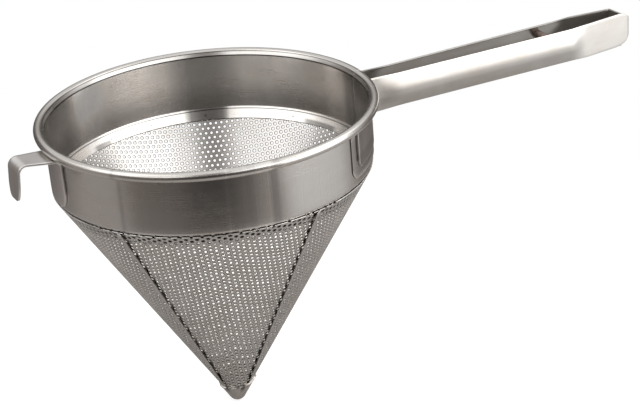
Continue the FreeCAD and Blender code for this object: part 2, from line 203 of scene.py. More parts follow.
class HandleSizes(bpy.types.PropertyGroup):
    """Sizes of the saddle plate, the two strips and the cross pin"""

    strip_height: length("Strip height", "Height of the flat strip", 22.2)
    strip_thickness: length("Strip", "Thickness of the strip", 1.2)
    strip_clearance: length("Strip clearance", "From the rim's underside down to the strip", 1.05)
    root_gap: length("Root gap", "Between the strips near the collar", 16.4)
    grip_gap: length("Grip gap", "Between the strips at the end of the grip", 20.4)
    end_gap: length("End gap", "Between the strips at their ends", 12.0)
    reach: length("Reach", "From the collar's wall to the end of the handle", 204.1)
    end_plate: length("End plate", "Length of the flat end", 36.0)
    web_setback: length("Web setback", "From the handle's end back to the end web", 5.2)
    web_bend: length("Web bend", "Inside radius where the back strip turns across", 1.0)
    chamfer_run: length("Chamfer run", "Length of the end's upper chamfer", 5.5)
    chamfer_rise: length("Chamfer rise", "Height of the end's upper chamfer", 3.4)
    corner_run: length("Corner run", "Length of the end's lower round", 14.0)
    corner_rise: length("Corner rise", "Height of the end's lower round", 6.5)
    root_bend: length("Root bend", "Radius between foot and grip", 5.0)
    root_straight: length("Root straight", "Flat run after the bend", 5.0)
    root_ramp: length("Root ramp", "Run over which the crown swells", 20.0)
    end_ramp: length("End ramp", "Run over which the crown fades", 14.0)
    crown_rise: length("Crown rise", "Bulge of the grip", 2.4)
    crown_draw_in: length("Crown draw in", "Height lost where the grip bulges", 0.8)
    foot_sweep: angle("Foot sweep", "From the handle round to the foot's end", 53.5)
    foot_corner: length("Foot corner", "Round at the foot's lower corner", 4.0)
    foot_lift: length("Foot lift", "Gap under the foot's free end", 0.9)
    foot_lift_run: length("Foot lift run", "Length of the lifted end", 9.0)
    saddle_sheet: length("Saddle sheet", "Thickness of the saddle plate", 0.8)
    saddle_shown: length("Shown saddle sheet", "Thickness of the saddle plate at its rolled edges", 0.5)
    saddle_sweep: angle("Saddle sweep", "From the handle round to the saddle's end", 57.2)
    saddle_drop: length("Saddle drop", "From the straight wall's top down to the saddle", 0.5)
    saddle_lift: length("Saddle lift", "From the collar's fold up to the saddle", 3.6)
    saddle_corner: length("Saddle corner", "Round at the saddle's lower corners", 6.0)
    pin_diameter: length("Pin diameter", "Diameter of the cross pin", 5.6)
    pin_chamfer: length("Pin chamfer", "Broken edge at the pin's ends", 0.4)


class HookSizes(bpy.types.PropertyGroup):
    """Sizes of the rest hook"""

    bearing: angle("Bearing", "Where the hook sits on the collar", 181.2)
    width: length("Width", "Width of the wall leg", 21.6)
    leg_width: length("Leg width", "Width of the turned leg", 17.6)
    thickness: length("Strip", "Thickness of the strip", 1.2)
    clearance: length("Clearance", "From the rim's underside down to the arm", 0.3)
    climb: angle("Climb", "Slope of the arm", 6.5)
    splay: angle("Splay", "Lean of the turned leg", 5.5)
    reach: length("Reach", "From the wall to the outside of the turned leg", 25.0)
    root_bend: length("Root bend", "Inside radius at the wall", 2.6)
    bend: length("Bend", "Inside radius over the turned leg", 4.0)
    lift: length("Lift", "From the collar's fold up to the wall leg's end", 2.1)
    drop: length("Drop", "From the arm under the rim down to the turned leg's end", 20.0)
    taper: length("Taper", "Length of each rounded end", 11.0)
    end_share: share("End share", "Flat part of each rounded end", 0.4)


class SteelFinish(bpy.types.PropertyGroup):
    """Colours and gloss of the steel"""

    collar_colour: colour("Collar", "Steel of the collar", 0.60, 0.582, 0.56)
    sheet_colour: colour("Front sheet", "Steel of the front perforated sheet", 0.685, 0.665, 0.64)
    # The back sheet's steel is the front sheet's with painted shade, darker so that its side fields look
    # dimmer
    back_shaded_colour: colour("Back sheet", "Steel of the back perforated sheet", 0.58, 0.565, 0.55)
    cap_colour: colour("Cap", "Steel of the tip cap", 0.60, 0.575, 0.55)
    strip_colour: colour("Strip", "Steel of the handle", 0.67, 0.65, 0.62)
    # The hook's steel is the handle's strip steel with a painted highlight, lighter all over
    hook_lit_colour: colour("Hook", "Steel of the hook", 0.86, 0.845, 0.83)
    pin_colour: colour("Pin", "Heat tinted steel of the pin", 0.15, 0.095, 0.08)
    tint_colour: colour("Tint", "Warm tint of handled steel", 0.50, 0.45, 0.40)
    collar_roughness: share("Collar roughness", "Gloss of the collar", 0.22)
    sheet_roughness: share("Sheet roughness", "Gloss of the sheets", 0.25)
    strip_roughness: share("Strip roughness", "Gloss of the strips", 0.28)


class StageSettings(bpy.types.PropertyGroup):
    """Camera, floor and light"""

    lens: amount("Lens", "Focal length in millimetres for a 36 mm wide sensor", 97.796)
    distance: length("Distance", "From the camera to the middle of the rim", 1020.0)
    elevation: angle("Elevation", "Camera over the horizon", 24.486)
    bearing: angle("Bearing", "Turn of the view round the strainer", -25.6)
    roll: angle("Roll", "Turn of the camera about its own view", -4.743)
    slide_right: length("Slide right", "Camera moved along the picture's width", 61.734)
    slide_up: length("Slide up", "Camera moved along the picture's height", -61.478)
    floor_colour: colour("Floor", "Pale floor", 0.385, 0.367, 0.353)
    room_colour: colour("Room", "Warm tone of the dim room round the steel", 1.0, 0.89, 0.83)
    floor_radius: length("Floor radius", "Radius of the round floor", 480.0)
    floor_lift: amount("Floor lift", "Light added to the floor that the camera sees", 0.75)
    floor_glint: amount("Floor glint", "Light added to the floor that the steel shows", 0.0)
    side_light: amount("Sides", "Level of the room round the steel, under the ceiling", 1.0)
    ceiling_light: amount("Ceiling", "Level of the bright ceiling", 1.9)
    ceiling_from: angle("Ceiling from", "Elevation at which the ceiling begins", 14.0)
    ceiling_to: angle("Ceiling to", "Elevation at which the ceiling is fully bright", 26.0)
    notch: angle("Notch", "Elevation of the thin dim line in the ceiling", 48.0)
    key_power: amount("Key", "Power of the large lamp", 3.0)
    fill_power: amount("Fill", "Power of the lamp on the other side", 2.0)
    side_power: amount("Side lamp", "Power of the standing lamp beside the handle", 1.6)


# Short calls for node trees
def put(tree, kind, inputs=None, **settings):
    """A new node with its settings, its values and its links."""
    node = tree.nodes.new(kind)
    for name, value in settings.items():
        setattr(node, name, value)
    for key, value in (inputs or {}).items():
        if isinstance(value, bpy.types.NodeSocket):
            tree.links.new(value, node.inputs[key])
        else:
            node.inputs[key].default_value = value
    return node


def calc(tree, operation, *values):
    """The result of one sum."""
    return put(tree, "ShaderNodeMath", dict(enumerate(values)), operation=operation).outputs[0]


def product(tree, first, *others):
    """All the values multiplied."""
    for other in others:
        first = calc(tree, "MULTIPLY", first, other)
    return first


def span(tree, value, low, high, to_low=0.0, to_high=1.0, smooth=False):
    """A value taken from one range to another."""
    node = put(tree, "ShaderNodeMapRange", {0: value, 1: low, 2: high, 3: to_low, 4: to_high},
               interpolation_type="SMOOTHSTEP" if smooth else "LINEAR")
    return node.outputs[0]


def split(tree, vector):
    """The three parts of a vector."""
    return tuple(put(tree, "ShaderNodeSeparateXYZ", {0: vector}).outputs)


def combine(tree, x, y, z):
    return put(tree, "ShaderNodeCombineXYZ", {0: x, 1: y, 2: z}).outputs[0]


def mix(tree, factor, first, second):
    return put(tree, "ShaderNodeMix", {0: factor, 2: first, 3: second}).outputs[0]


def blend_colours(tree, factor, first, second):
    node = put(tree, "ShaderNodeMix", {0: factor, 6: first, 7: second}, data_type="RGBA")
    return node.outputs[2]


def vector_value(tree, operation, *vectors):
    """One number from vectors: a length, a distance or a dot product."""
    node = put(tree, "ShaderNodeVectorMath", dict(enumerate(vectors)), operation=operation)
    return node.outputs["Value"]


def without_height(tree, place):
    node = put(tree, "ShaderNodeVectorMath", {0: place, 1: (1.0, 1.0, 0.0)}, operation="MULTIPLY")
    return node.outputs[0]


def object_place(tree):
    return put(tree, "ShaderNodeTexCoord").outputs["Object"]


def surface_normal(tree):
    return put(tree, "ShaderNodeNewGeometry").outputs["Normal"]


def facing_out(tree, place):
    """Over zero where the surface looks away from the strainer's axis, and under zero inside."""
    return vector_value(tree, "DOT_PRODUCT", without_height(tree, place), surface_normal(tree))


def noise(tree, place, scale=1.0, detail=2.0, roughness=0.5, distortion=0.0):
    inputs = {"Vector": place, "Scale": scale, "Detail": detail, "Roughness": roughness,
              "Distortion": distortion}
    return put(tree, "ShaderNodeTexNoise", inputs).outputs[0]


def opaque(rgb):
    return (*rgb, 1.0)


def levels(tree, around, stops):
    """Levels from 0 to 2 by bearing in degrees, where around runs from 0 at -180 to 1 at 180."""
    highest = 2.0
    node = put(tree, "ShaderNodeValToRGB", {0: around})
    ramp = node.color_ramp
    for i, (bearing, level) in enumerate(stops):
        place = bearing / 360 + 0.5
        stop = ramp.elements[i] if i < 2 else ramp.elements.new(place)
        stop.position = place
        stop.color = opaque([level / highest] * 3)
    return calc(tree, "MULTIPLY", node.outputs[0], highest)


# Mesh helpers
def on_circle(radius, turn):
    return Vector((radius * math.cos(turn), radius * math.sin(turn)))


def polar(radius, turn, z):
    return Vector((radius * math.cos(turn), radius * math.sin(turn), z))


def eased(value):
    """From 0 to 1 with a soft start and end."""
    value = min(1.0, max(0.0, value))
    return value * value * (3 - 2 * value)


def lerp(a, b, t):
    return a + (b - a) * t


def rounded_path(corners, radii, step):
    """A line through flat corners, each inner one rounded by its radius."""
    path = [corners[0]]
    for before, here, after, radius in zip(corners, corners[1:], corners[2:], radii):
        back = (before - here).normalized()
        on = (after - here).normalized()
        half = back.angle(on) / 2
        run = radius / math.tan(half)
        centre = here + (back + on).normalized() * (radius / math.sin(half))
        first = here + back * run - centre
        last = here + on * run - centre
        turn = first.angle_signed(last)
        pieces = max(LEAST_ARC_PIECES, math.ceil(abs(turn) * radius / step))
        for i in range(pieces + 1):
            spun = first.copy()
            spun.rotate(Matrix.Rotation(-turn * i / pieces, 2))
            path.append(centre + spun)
    path.append(corners[-1])
    return path


def divided(path, step):
    """The same line with its long runs divided."""
    result = [path[0]]
    for a, b in zip(path, path[1:]):
        pieces = max(1, math.ceil((b - a).length / step))
        result.extend(a.lerp(b, i / pieces) for i in range(1, pieces + 1))
    return result


def left_normals(path):
    """At each point of a flat line, the direction to its left."""
    normals = []
    for i in range(len(path)):
        a = path[max(0, i - 1)]
        b = path[min(len(path) - 1, i + 1)]
        along = (b - a).normalized()
        normals.append(Vector((-along.y, along.x)))
    return normals


def run_lengths(points):
    """How far along the line each of its points lies."""
    result = [0.0]
    for a, b in zip(points, points[1:]):
        result.append(result[-1] + (b - a).length)
    return result


def wrapped_sheet(path, thickness):
    """The closed outline of a sheet that follows a flat line, with rounded ends."""
    normals = left_normals(path)
    half = thickness / 2
    left = [p + n * half for p, n in zip(path, normals)]
    right = [p - n * half for p, n in zip(path, normals)]
    start = path[0] + (path[0] - path[1]).normalized() * half * ROUND_END
    end = path[-1] + (path[-1] - path[-2]).normalized() * half * ROUND_END
    return left + [end] + right[::-1] + [start]


def grid_mesh(name, rows, uv, wrap_rows=False, wrap_columns=False):
    """A mesh of quads from rows of points, with a UV map in metres."""
    height, width = len(rows), len(rows[0])
    faces, corners = [], []
    for i in range(height if wrap_rows else height - 1):
        for j in range(width if wrap_columns else width - 1):
            quad = [(i, j), (i + 1, j), (i + 1, j + 1), (i, j + 1)]
            faces.append([(a % height) * width + b % width for a, b in quad])
            for a, b in quad:
                corners.extend(uv(a, b))
    mesh = bpy.data.meshes.new(name)
    mesh.from_pydata([p for row in rows for p in row], [], faces)
    mesh.uv_layers.new(name="sheet").data.foreach_set("uv", corners)
    return mesh


def new_holder(name, mesh):
    """A passing object to carry a mesh and its modifiers."""
    holder = bpy.data.objects.new(name + "_holder", mesh)
    bpy.context.scene.collection.objects.link(holder)
    return holder


def mesh_of(name, holder):
    """The plain mesh that a holder and its modifiers give, without the holder."""
    graph = bpy.context.evaluated_depsgraph_get()
    mesh = bpy.data.meshes.new_from_object(holder.evaluated_get(graph))
    bpy.data.objects.remove(holder)
    mesh.name = name
    return mesh


def thickened(name, mesh, thickness, edge):
    """A sheet given its thickness along its normals and broken edges."""
    holder = new_holder(name, mesh)
    wall = holder.modifiers.new("Wall", "SOLIDIFY")
    wall.thickness = thickness
    wall.offset = 1.0
    wall.use_even_offset = True
    broken = holder.modifiers.new("Broken edges", "BEVEL")
    broken.width = edge
    broken.segments = 2
    broken.limit_method = "ANGLE"
    broken.angle_limit = BEVELLED_EDGE
    return mesh_of(name, holder)


def closed_up(mesh):
    """The mesh with its doubles merged and its faces turned outwards."""
    work = bmesh.new()
    work.from_mesh(mesh)
    bmesh.ops.remove_doubles(work, verts=work.verts, dist=SAME_POINT)
    bmesh.ops.recalc_face_normals(work, faces=work.faces)
    work.to_mesh(mesh)
    work.free()
    return mesh


def make_piece(name, mesh, steel_name, slot, *nodes):
    """The finished piece, smooth but for its sharp edges, in the place of its nodes."""
    mesh.shade_smooth()
    mesh.set_sharp_from_angle(angle=SHARP_EDGE)
    mesh.materials.clear()
    mesh.materials.append(finish(steel_name))
    piece = bpy.data.objects.new(name, mesh)
    bpy.context.scene.collection.objects.link(piece)
    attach(piece, "root")
    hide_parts(*nodes)


# Shared finishes
def new_group(name, inputs, outputs):
    """A shader node group, with the sockets that it is given and those that it puts out."""
    group = bpy.data.node_groups.new(name, "ShaderNodeTree")
    for label, value in inputs.items():
        socket = group.interface.new_socket(label, in_out="INPUT", socket_type="NodeSocketFloat")
        socket.default_value = value
    for label in outputs:
        group.interface.new_socket(label, in_out="OUTPUT", socket_type="NodeSocketFloat")
    given = group.nodes.new("NodeGroupInput").outputs
    return group, given, group.nodes.new("NodeGroupOutput").inputs


def tone_group(name):
    """A shader node group that puts out one tone, and the socket for it."""
    group, _, out = new_group(name, {}, ["Tone"])
    return group, out["Tone"]


def brushed_lines_group():
    """Fine lines along the sheet's own length, and wider streaks among them."""
    group, given, out = new_group("Brushed lines", {"Along": 8.0, "Across": 2600.0, "Waver": 30.0},
                                  ["Lines", "Streaks"])
    streak_share = 0.08
    streak_depth = 4.0
    along, across = split(group, put(group, "ShaderNodeTexCoord").outputs["UV"])[:2]
    fine = combine(group, product(group, along, given["Along"]), product(group, across, given["Across"]), 0.0)
    wide = combine(group, product(group, along, given["Waver"]),
                   product(group, across, given["Across"], streak_share), streak_depth)
    group.links.new(noise(group, fine, detail=3.0, roughness=0.6), out["Lines"])
    group.links.new(noise(group, wide), out["Streaks"])


def handling_marks_group():
    """Soft clouds of handling and rolling marks, and fine specks."""
    group, given, out = new_group("Handling marks", {"Size": 28.0, "Sharpness": 0.25, "Speck size": 420.0},
                                  ["Marks", "Specks"])
    middle = 0.5
    place = object_place(group)
    cloud = noise(group, place, given["Size"], detail=5.0, roughness=0.62, distortion=0.6)
    low = calc(group, "SUBTRACT", middle, given["Sharpness"])
    high = calc(group, "ADD", middle, given["Sharpness"])
    group.links.new(span(group, cloud, low, high, smooth=True), out["Marks"])
    group.links.new(noise(group, place, given["Speck size"]), out["Specks"])


def worn_edges_group():
    """A mask of the outer edges, broken up along their length."""
    group, given, out = new_group("Worn edges", {"From": 0.52, "To": 0.62, "Break": 600.0}, ["Wear"])
    broken_range = (0.3, 0.7)
    bent = put(group, "ShaderNodeNewGeometry").outputs["Pointiness"]
    edge = span(group, bent, given["From"], given["To"])
    broken = span(group, noise(group, object_place(group), given["Break"]), *broken_range)
    group.links.new(product(group, edge, broken), out["Wear"])


def wall_shade_and_reflections_group():
    """Painted reflections as upright streaks round the collar, painted shade low inside and on the lip behind
    the sheets, painted shadow lines in its creases, fine streaks of tone and the lip's spot welds.
    """
    group, tone = tone_group("Wall tones")
    size = bpy.context.scene.collar_sizes
    fold = -size.depth
    bead = size.bead_rise
    # Heights of the painted shade, the painted shadow lines and the welds, taken from the fold and the bead
    shaded_lip = (fold - 1.8 * MM, fold - 1.3 * MM)
    low_lip = (fold - 4.6 * MM, fold - 3.6 * MM)
    lip_top = (fold + 0.2 * MM, fold + 0.6 * MM)
    shaded_low_wall = (fold + 2.6 * MM, fold + 22.6 * MM)
    bead_foot = (bead - 1.0 * MM, bead - 0.5 * MM)
    fold_shade_line = (fold - 1.1 * MM, 0.4 * MM, 0.3)
    neck_shade_line = (bead - 0.85 * MM, 0.5 * MM, 0.1)
    bead_shade_line = (bead + 1.6 * MM, 0.35 * MM, 0.35)
    weld_ring = size.rim_diameter / 2 - size.rim_overhang - 3.0 * MM
    weld_height = fold - 3.9 * MM
    weld_spot = (0.5 * MM, 1.3 * MM)
    shaded_tone = 0.1
    weld_tone = 0.45
    low_wall_shade_levels = (0.62, 1.12)
    fine_streaks = 240.0
    fine_middle = (0.25, 0.75)
    fine_tones = (0.92, 1.08)
    side_edge = 0.02
    place = object_place(group)
    x, y, z = split(group, place)
    around = span(group, calc(group, "ARCTAN2", y, x), -math.pi, math.pi)

    def shade_line(height, half_width, darkest):
        """A thin painted shadow line all the way round."""
        off = calc(group, "ABSOLUTE", calc(group, "SUBTRACT", z, height))
        return span(group, off, half_width / 2, half_width, darkest, 1.0)

    def by_bearing(stops):
        return levels(group, around, stops)

    # Outside: painted reflections by bearing, and painted shade on the lip where it lies behind the sheets
    outside = product(group, by_bearing(OUTER_PAINTED_REFLECTIONS), span(group, z, *shaded_lip, shaded_tone, 1.0))
    low_patches = mix(group, span(group, z, *low_lip, 1.0, 0.0), 1.0, by_bearing(LOW_LIP_PATCHES))
    # The lip: patches by bearing, a painted shadow line under the fold, and the welds
    lip = product(group, by_bearing(LIP_PATCHES), low_patches, shade_line(*fold_shade_line))
    for bearing in LIP_WELDS:
        weld = polar(weld_ring, math.radians(bearing), weld_height)
        off = vector_value(group, "DISTANCE", place, weld)
        lip = product(group, lip, span(group, off, *weld_spot, weld_tone, 1.0, smooth=True))
    # Inside: painted reflections by bearing, and painted shade low on the wall
    wall = product(group, by_bearing(INNER_PAINTED_REFLECTIONS_AND_JOINT), span(group, z, *shaded_low_wall, *low_wall_shade_levels, smooth=True))
    inside = mix(group, span(group, z, *lip_top, 1.0, 0.0), wall, lip)
    inside = mix(group, span(group, z, *bead_foot), inside, 1.0)
    # Painted shadow lines where the neck meets the wall and where the flank meets the curl
    inside = product(group, inside, shade_line(*neck_shade_line), shade_line(*bead_shade_line))
    inward = span(group, facing_out(group, place), -side_edge, side_edge, 1.0, 0.0)
    fine = put(group, "ShaderNodeTexNoise", {"W": product(group, around, fine_streaks), "Detail": 3.0},
               noise_dimensions="1D").outputs[0]
    fine = span(group, fine, *fine_middle, *fine_tones)
    group.links.new(product(group, mix(group, inward, outside, inside), fine), tone)


def hole_shade_and_highlight_group():
    """Painted shade round the rims of the punched holes, a painted highlight in their bores, and painted
    shade on the inside near the cone's point.
    """
    group, tone = tone_group("Punched rims")
    point = cad_box[0].z
    shaded_tip_part = (point + 19.8 * MM, point + 33.8 * MM)
    rim_shade_part = (0.48, 0.86)
    bore_part = (0.97, 0.995)
    rim_shade_tone = 0.12
    bore_highlight_tone = 1.35
    tip_shade_tone = 0.1
    side_edge = 0.002
    rim = put(group, "ShaderNodeAttribute", attribute_name="hole_rim").outputs["Fac"]
    # Painted shade round each hole's rim and a painted highlight in its bore
    ring = span(group, rim, *rim_shade_part, 1.0, rim_shade_tone, smooth=True)
    bore = span(group, rim, *bore_part, 0.0, bore_highlight_tone)
    place = object_place(group)
    inward = span(group, facing_out(group, place), -side_edge, 0.0, 1.0, 0.0)
    # Painted shade on the inner faces near the cone's point
    deep = span(group, split(group, place)[2], *shaded_tip_part, 1.0, 0.0, smooth=True)
    tip_shade = span(group, product(group, inward, deep), 0.0, 1.0, 1.0, tip_shade_tone)
    group.links.new(product(group, calc(group, "MAXIMUM", ring, bore), tip_shade), tone)


def grip_shade_and_highlight_group():
    """Painted shade on the lower half of the grip, a painted highlight on the end plate, and darker inner
    faces.
    """
    group, tone = tone_group("Grip tones")
    plan = HandlePlan(bpy.context.scene)
    middle = plan.top - plan.size.strip_height / 2
    shaded_lower_half = (middle - 4.5 * MM, middle - 1.5 * MM)
    plate_edge = (plan.crown_end, plan.plate_start - 1.9 * MM)
    lower_shade_tone = 0.78
    plate_highlight_tone = 1.16
    inner_tone = 0.68
    side_edge = 0.002
    x, y, z = split(group, object_place(group))
    # Painted shade on the grip's lower half and a painted highlight on its end plate
    lower = span(group, z, *shaded_lower_half, lower_shade_tone, 1.0, smooth=True)
    outer = mix(group, span(group, x, *plate_edge, smooth=True), lower, plate_highlight_tone)
    outward = product(group, y, split(group, surface_normal(group))[1])
    outward = span(group, outward, -side_edge, side_edge)
    group.links.new(mix(group, outward, inner_tone, outer), tone)


def crease_shade_group():
    """Painted shade in the pressed creases of the cap."""
    group, tone = tone_group("Creases")
    point = cad_box[0].z
    upper_part = (point + 7.8 * MM, point + 12.3 * MM)
    crease_turn = (0.05, 0.2)
    crease_shade_tone = 0.2
    x, y, z = split(group, object_place(group))
    around = calc(group, "ARCTAN2", y, x)
    nearest = math.pi
    for bearing in CAP_CREASES:
        off = calc(group, "SUBTRACT", around, math.radians(bearing))
        off = calc(group, "ABSOLUTE", calc(group, "WRAP", off, math.pi, -math.pi))
        nearest = calc(group, "MINIMUM", off, nearest)
    # Painted shade in the upper part of each crease
    pressed = span(group, nearest, *crease_turn, 1.0, 0.0, smooth=True)
    pressed = product(group, pressed, span(group, z, *upper_part))
    group.links.new(span(group, pressed, 0.0, 1.0, 1.0, crease_shade_tone), tone)


def steel(name, base, tint, roughness, spread, lines, marks, wear, bump, painted_light_and_marks=None):
    """Brushed steel: lines in its gloss and relief, a warm tint in patches, bright worn edges and, where
    given, a tone group of painted shade, highlights and reflections with marks.
    """
    tint_share = 0.9
    worn_gain = 1.25
    dull_share = 0.5
    speck_share = 0.25
    relief_depth = 0.2 * MM
    material = bpy.data.materials.new(name)
    material.use_nodes = True
    tree = material.node_tree
    shader = tree.nodes["Principled BSDF"].inputs
    shader["Metallic"].default_value = 1.0
    groups = bpy.data.node_groups
    brushed = put(tree, "ShaderNodeGroup", lines, node_tree=groups["Brushed lines"]).outputs
    marked = put(tree, "ShaderNodeGroup", marks, node_tree=groups["Handling marks"]).outputs
    worn = put(tree, "ShaderNodeGroup", wear, node_tree=groups["Worn edges"]).outputs
    tinted = product(tree, brushed["Streaks"], marked["Marks"], tint_share)
    colours = blend_colours(tree, tinted, opaque(base), opaque(tint))
    bright = opaque(min(1.0, part * worn_gain) for part in base)
    colours = blend_colours(tree, worn["Wear"], colours, bright)
    # Some finishes are scaled by a tone group that holds painted shade, highlights and reflections
    if painted_light_and_marks:
        tone = put(tree, "ShaderNodeGroup", node_tree=groups[painted_light_and_marks]).outputs["Tone"]
        scaled = put(tree, "ShaderNodeVectorMath", {0: colours, "Scale": tone}, operation="SCALE")
        colours = scaled.outputs[0]
    tree.links.new(colours, shader["Base Color"])
    gloss = calc(tree, "MULTIPLY_ADD", brushed["Lines"], spread, roughness - spread / 2)
    dulled = calc(tree, "MULTIPLY_ADD", marked["Marks"], spread * dull_share, gloss)
    tree.links.new(dulled, shader["Roughness"])
    relief = calc(tree, "MULTIPLY_ADD", marked["Specks"], speck_share, brushed["Lines"])
    bumped = put(tree, "ShaderNodeBump", {"Height": relief, "Strength": bump, "Distance": relief_depth})
    tree.links.new(bumped.outputs[0], shader["Normal"])
    return material


def finish(name):
    """A steel finish by name, made once."""
    made = bpy.data.materials.get(name)
    if made:
        return made
    if "Brushed lines" not in bpy.data.node_groups:
        for make_group in (brushed_lines_group, handling_marks_group, worn_edges_group, wall_shade_and_reflections_group,
                           hole_shade_and_highlight_group, crease_shade_group, grip_shade_and_highlight_group):
            make_group()
    steels = bpy.context.scene.steel_finish
    brushed = {"Along": 8.0, "Across": 2600.0}
    milled = {"Along": 60.0, "Across": 900.0}
    edges = {"From": 0.53, "To": 0.66}
    sheet = dict(roughness=steels.sheet_roughness, spread=0.10, lines=milled, marks={"Size": 45.0},
                 wear={"From": 0.56, "To": 0.75}, bump=0.04, painted_light_and_marks="Punched rims")
    strip = dict(roughness=steels.strip_roughness, spread=0.12, lines=brushed, marks={"Size": 30.0},
                 wear=edges, bump=0.05)
    recipes = {
        "collar_brushed": dict(base=steels.collar_colour, roughness=steels.collar_roughness, spread=0.12,
                               lines=brushed, marks={"Size": 22.0}, wear=edges, bump=0.05,
                               painted_light_and_marks="Wall tones"),
        "sheet_milled": dict(sheet, base=steels.sheet_colour),
        # The back sheet takes the darker colour with painted shade
        "back_sheet_milled": dict(sheet, base=steels.back_shaded_colour),
        "cap_satin": dict(base=steels.cap_colour, roughness=steels.sheet_roughness, spread=0.14,
                          lines=brushed, marks={"Size": 120.0}, wear={"From": 0.6, "To": 0.8}, bump=0.08,
                          painted_light_and_marks="Creases"),
        "strip_brushed": dict(strip, base=steels.strip_colour, painted_light_and_marks="Grip tones"),
        # The hook takes the lighter colour with its painted highlight
        "hook_brushed": dict(strip, base=steels.hook_lit_colour),
        "pin_tinted": dict(base=steels.pin_colour, roughness=0.4, spread=0.2,
                           lines={"Along": 300.0, "Across": 900.0}, marks={"Size": 300.0}, wear=edges,
                           bump=0.15),
    }
    return steel(name, tint=steels.tint_colour, **recipes[name])


# The cone's shared frame
class Cone:
    """Places on the cone: slants run up from the lip's apex, lifts stand out from the lip."""

    def __init__(self, scene):
        collar, sheets, cap = scene.collar_sizes, scene.sheet_sizes, scene.cap_sizes
        self.half = sheets.half_angle
        self.wall_in = collar.rim_diameter / 2 - collar.rim_overhang
        self.wall_out = self.wall_in + collar.wall
        self.apex = -collar.depth - self.wall_out / math.tan(self.half)
        self.fold_slant = self.wall_out / math.sin(self.half)
        self.sheet_in = sheets.seat_gap
        self.sheet_out = self.sheet_in + sheets.thickness
        self.cover_in = self.sheet_out + sheets.seat_gap
        self.cap_out = self.cover_in + cap.sheet
        self.top = self.fold_slant - sheets.set_down
        self.end = (sheets.tip_hole_radius - self.sheet_in * math.cos(self.half)) / math.sin(self.half)
        self.nose_centre = self.apex + (cap.nose_radius - self.cap_out) / math.sin(self.half)
        nose_edge = cap.nose_radius * math.cos(self.half) - self.cap_out * math.cos(self.half)
        self.nose_slant = nose_edge / math.sin(self.half)
        self.cap_slant = self.nose_slant + cap.length

    def flat(self, slant, lift):
        """Radius and height of a place on the cone."""
        return Vector((slant * math.sin(self.half) + lift * math.cos(self.half),
                       self.apex + slant * math.cos(self.half) - lift * math.sin(self.half)))


class STRAINER_OT_collar(bpy.types.Operator):
    """Rolls the collar with its neck, curled rim, lower fold and lip"""

    bl_idname = "strainer.collar"
    bl_label = "Collar"

    def execute(self, context):
        size = context.scene.collar_sizes
        cone = Cone(context.scene)
        around = 256
        path = self.section(size, cone)
        whole = wrapped_sheet(path, size.wall)
        grooved = wrapped_sheet(path, size.wall - 2 * size.butt_depth)
        along = run_lengths(whole + whole[:1])
        floor_share = 0.3
        groove = size.butt_width / 2 / cone.wall_in
        groove_floor = groove * floor_share
        ribs = [(-groove, whole), (-groove_floor, grooved), (groove_floor, grooved), (groove, whole)]
        rest = 2 * math.pi - 2 * groove
        ribs += [(groove + rest * i / around, whole) for i in range(1, around)]
        rows = []
        for turn, outline in ribs:
            rows.append([polar(p.x, turn + size.butt_bearing, p.y) for p in outline])
        run = [turn * cone.wall_in for turn, outline in ribs]
        run.append((2 * math.pi - groove) * cone.wall_in)
        mesh = grid_mesh("rolled_collar", rows, lambda i, j: (run[i], along[j]), True, True)
        make_piece("rolled_collar", closed_up(mesh), "collar_brushed", "collar_steel", "collar")
        return {"FINISHED"}

    def section(self, size, cone):
        """The middle line of the strip from the lip's end up to the end of the curl."""
        curl_pieces = 36
        wall_step = 4 * MM
        half = size.wall / 2
        bead_radius = size.bead_diameter / 2
        bead = Vector((size.rim_diameter / 2 - bead_radius, size.bead_rise))
        start = math.pi - size.neck_lean
        sweep = 2 * math.pi - size.neck_lean - size.curl_opening
        turns = [start - sweep * i / curl_pieces for i in range(curl_pieces + 1)]
        curl = [bead + on_circle(bead_radius - half, turn) for turn in turns]
        drop = (curl[0].x - cone.wall_in - half) / math.tan(size.neck_lean)
        neck = Vector((cone.wall_in + half, curl[0].y - drop))
        half_fold = cone.half / 2
        fold = Vector((cone.wall_out, -size.depth)) - on_circle(half / math.cos(half_fold), -half_fold)
        lip_end = cone.flat(cone.fold_slant - size.lip_width, -half)
        path = rounded_path([lip_end, fold, neck, curl[0]], [size.fold_radius + half, size.neck_radius],
                            ARC_STEP)
        return divided(path + curl[1:], wall_step)


# Perforated sheets
SHEET_INPUTS = {
    "NodeSocketFloat": ("Hole Diameter", "Hole Pitch", "Cell Border", "Pattern Turn", "Half Sector",
                        "Edge Inset", "Seam Step", "Seam Rise", "Seam End", "Edge Lift", "Slant From",
                        "Slant To", "Thickness", "Lift", "Cone Half Angle", "Apex Height", "Bearing"),
    "NodeSocketInt": ("Pattern Count", "Along Count", "Around Count"),
    "NodeSocketBool": ("Seams",),
    "NodeSocketMaterial": ("Steel",),
}


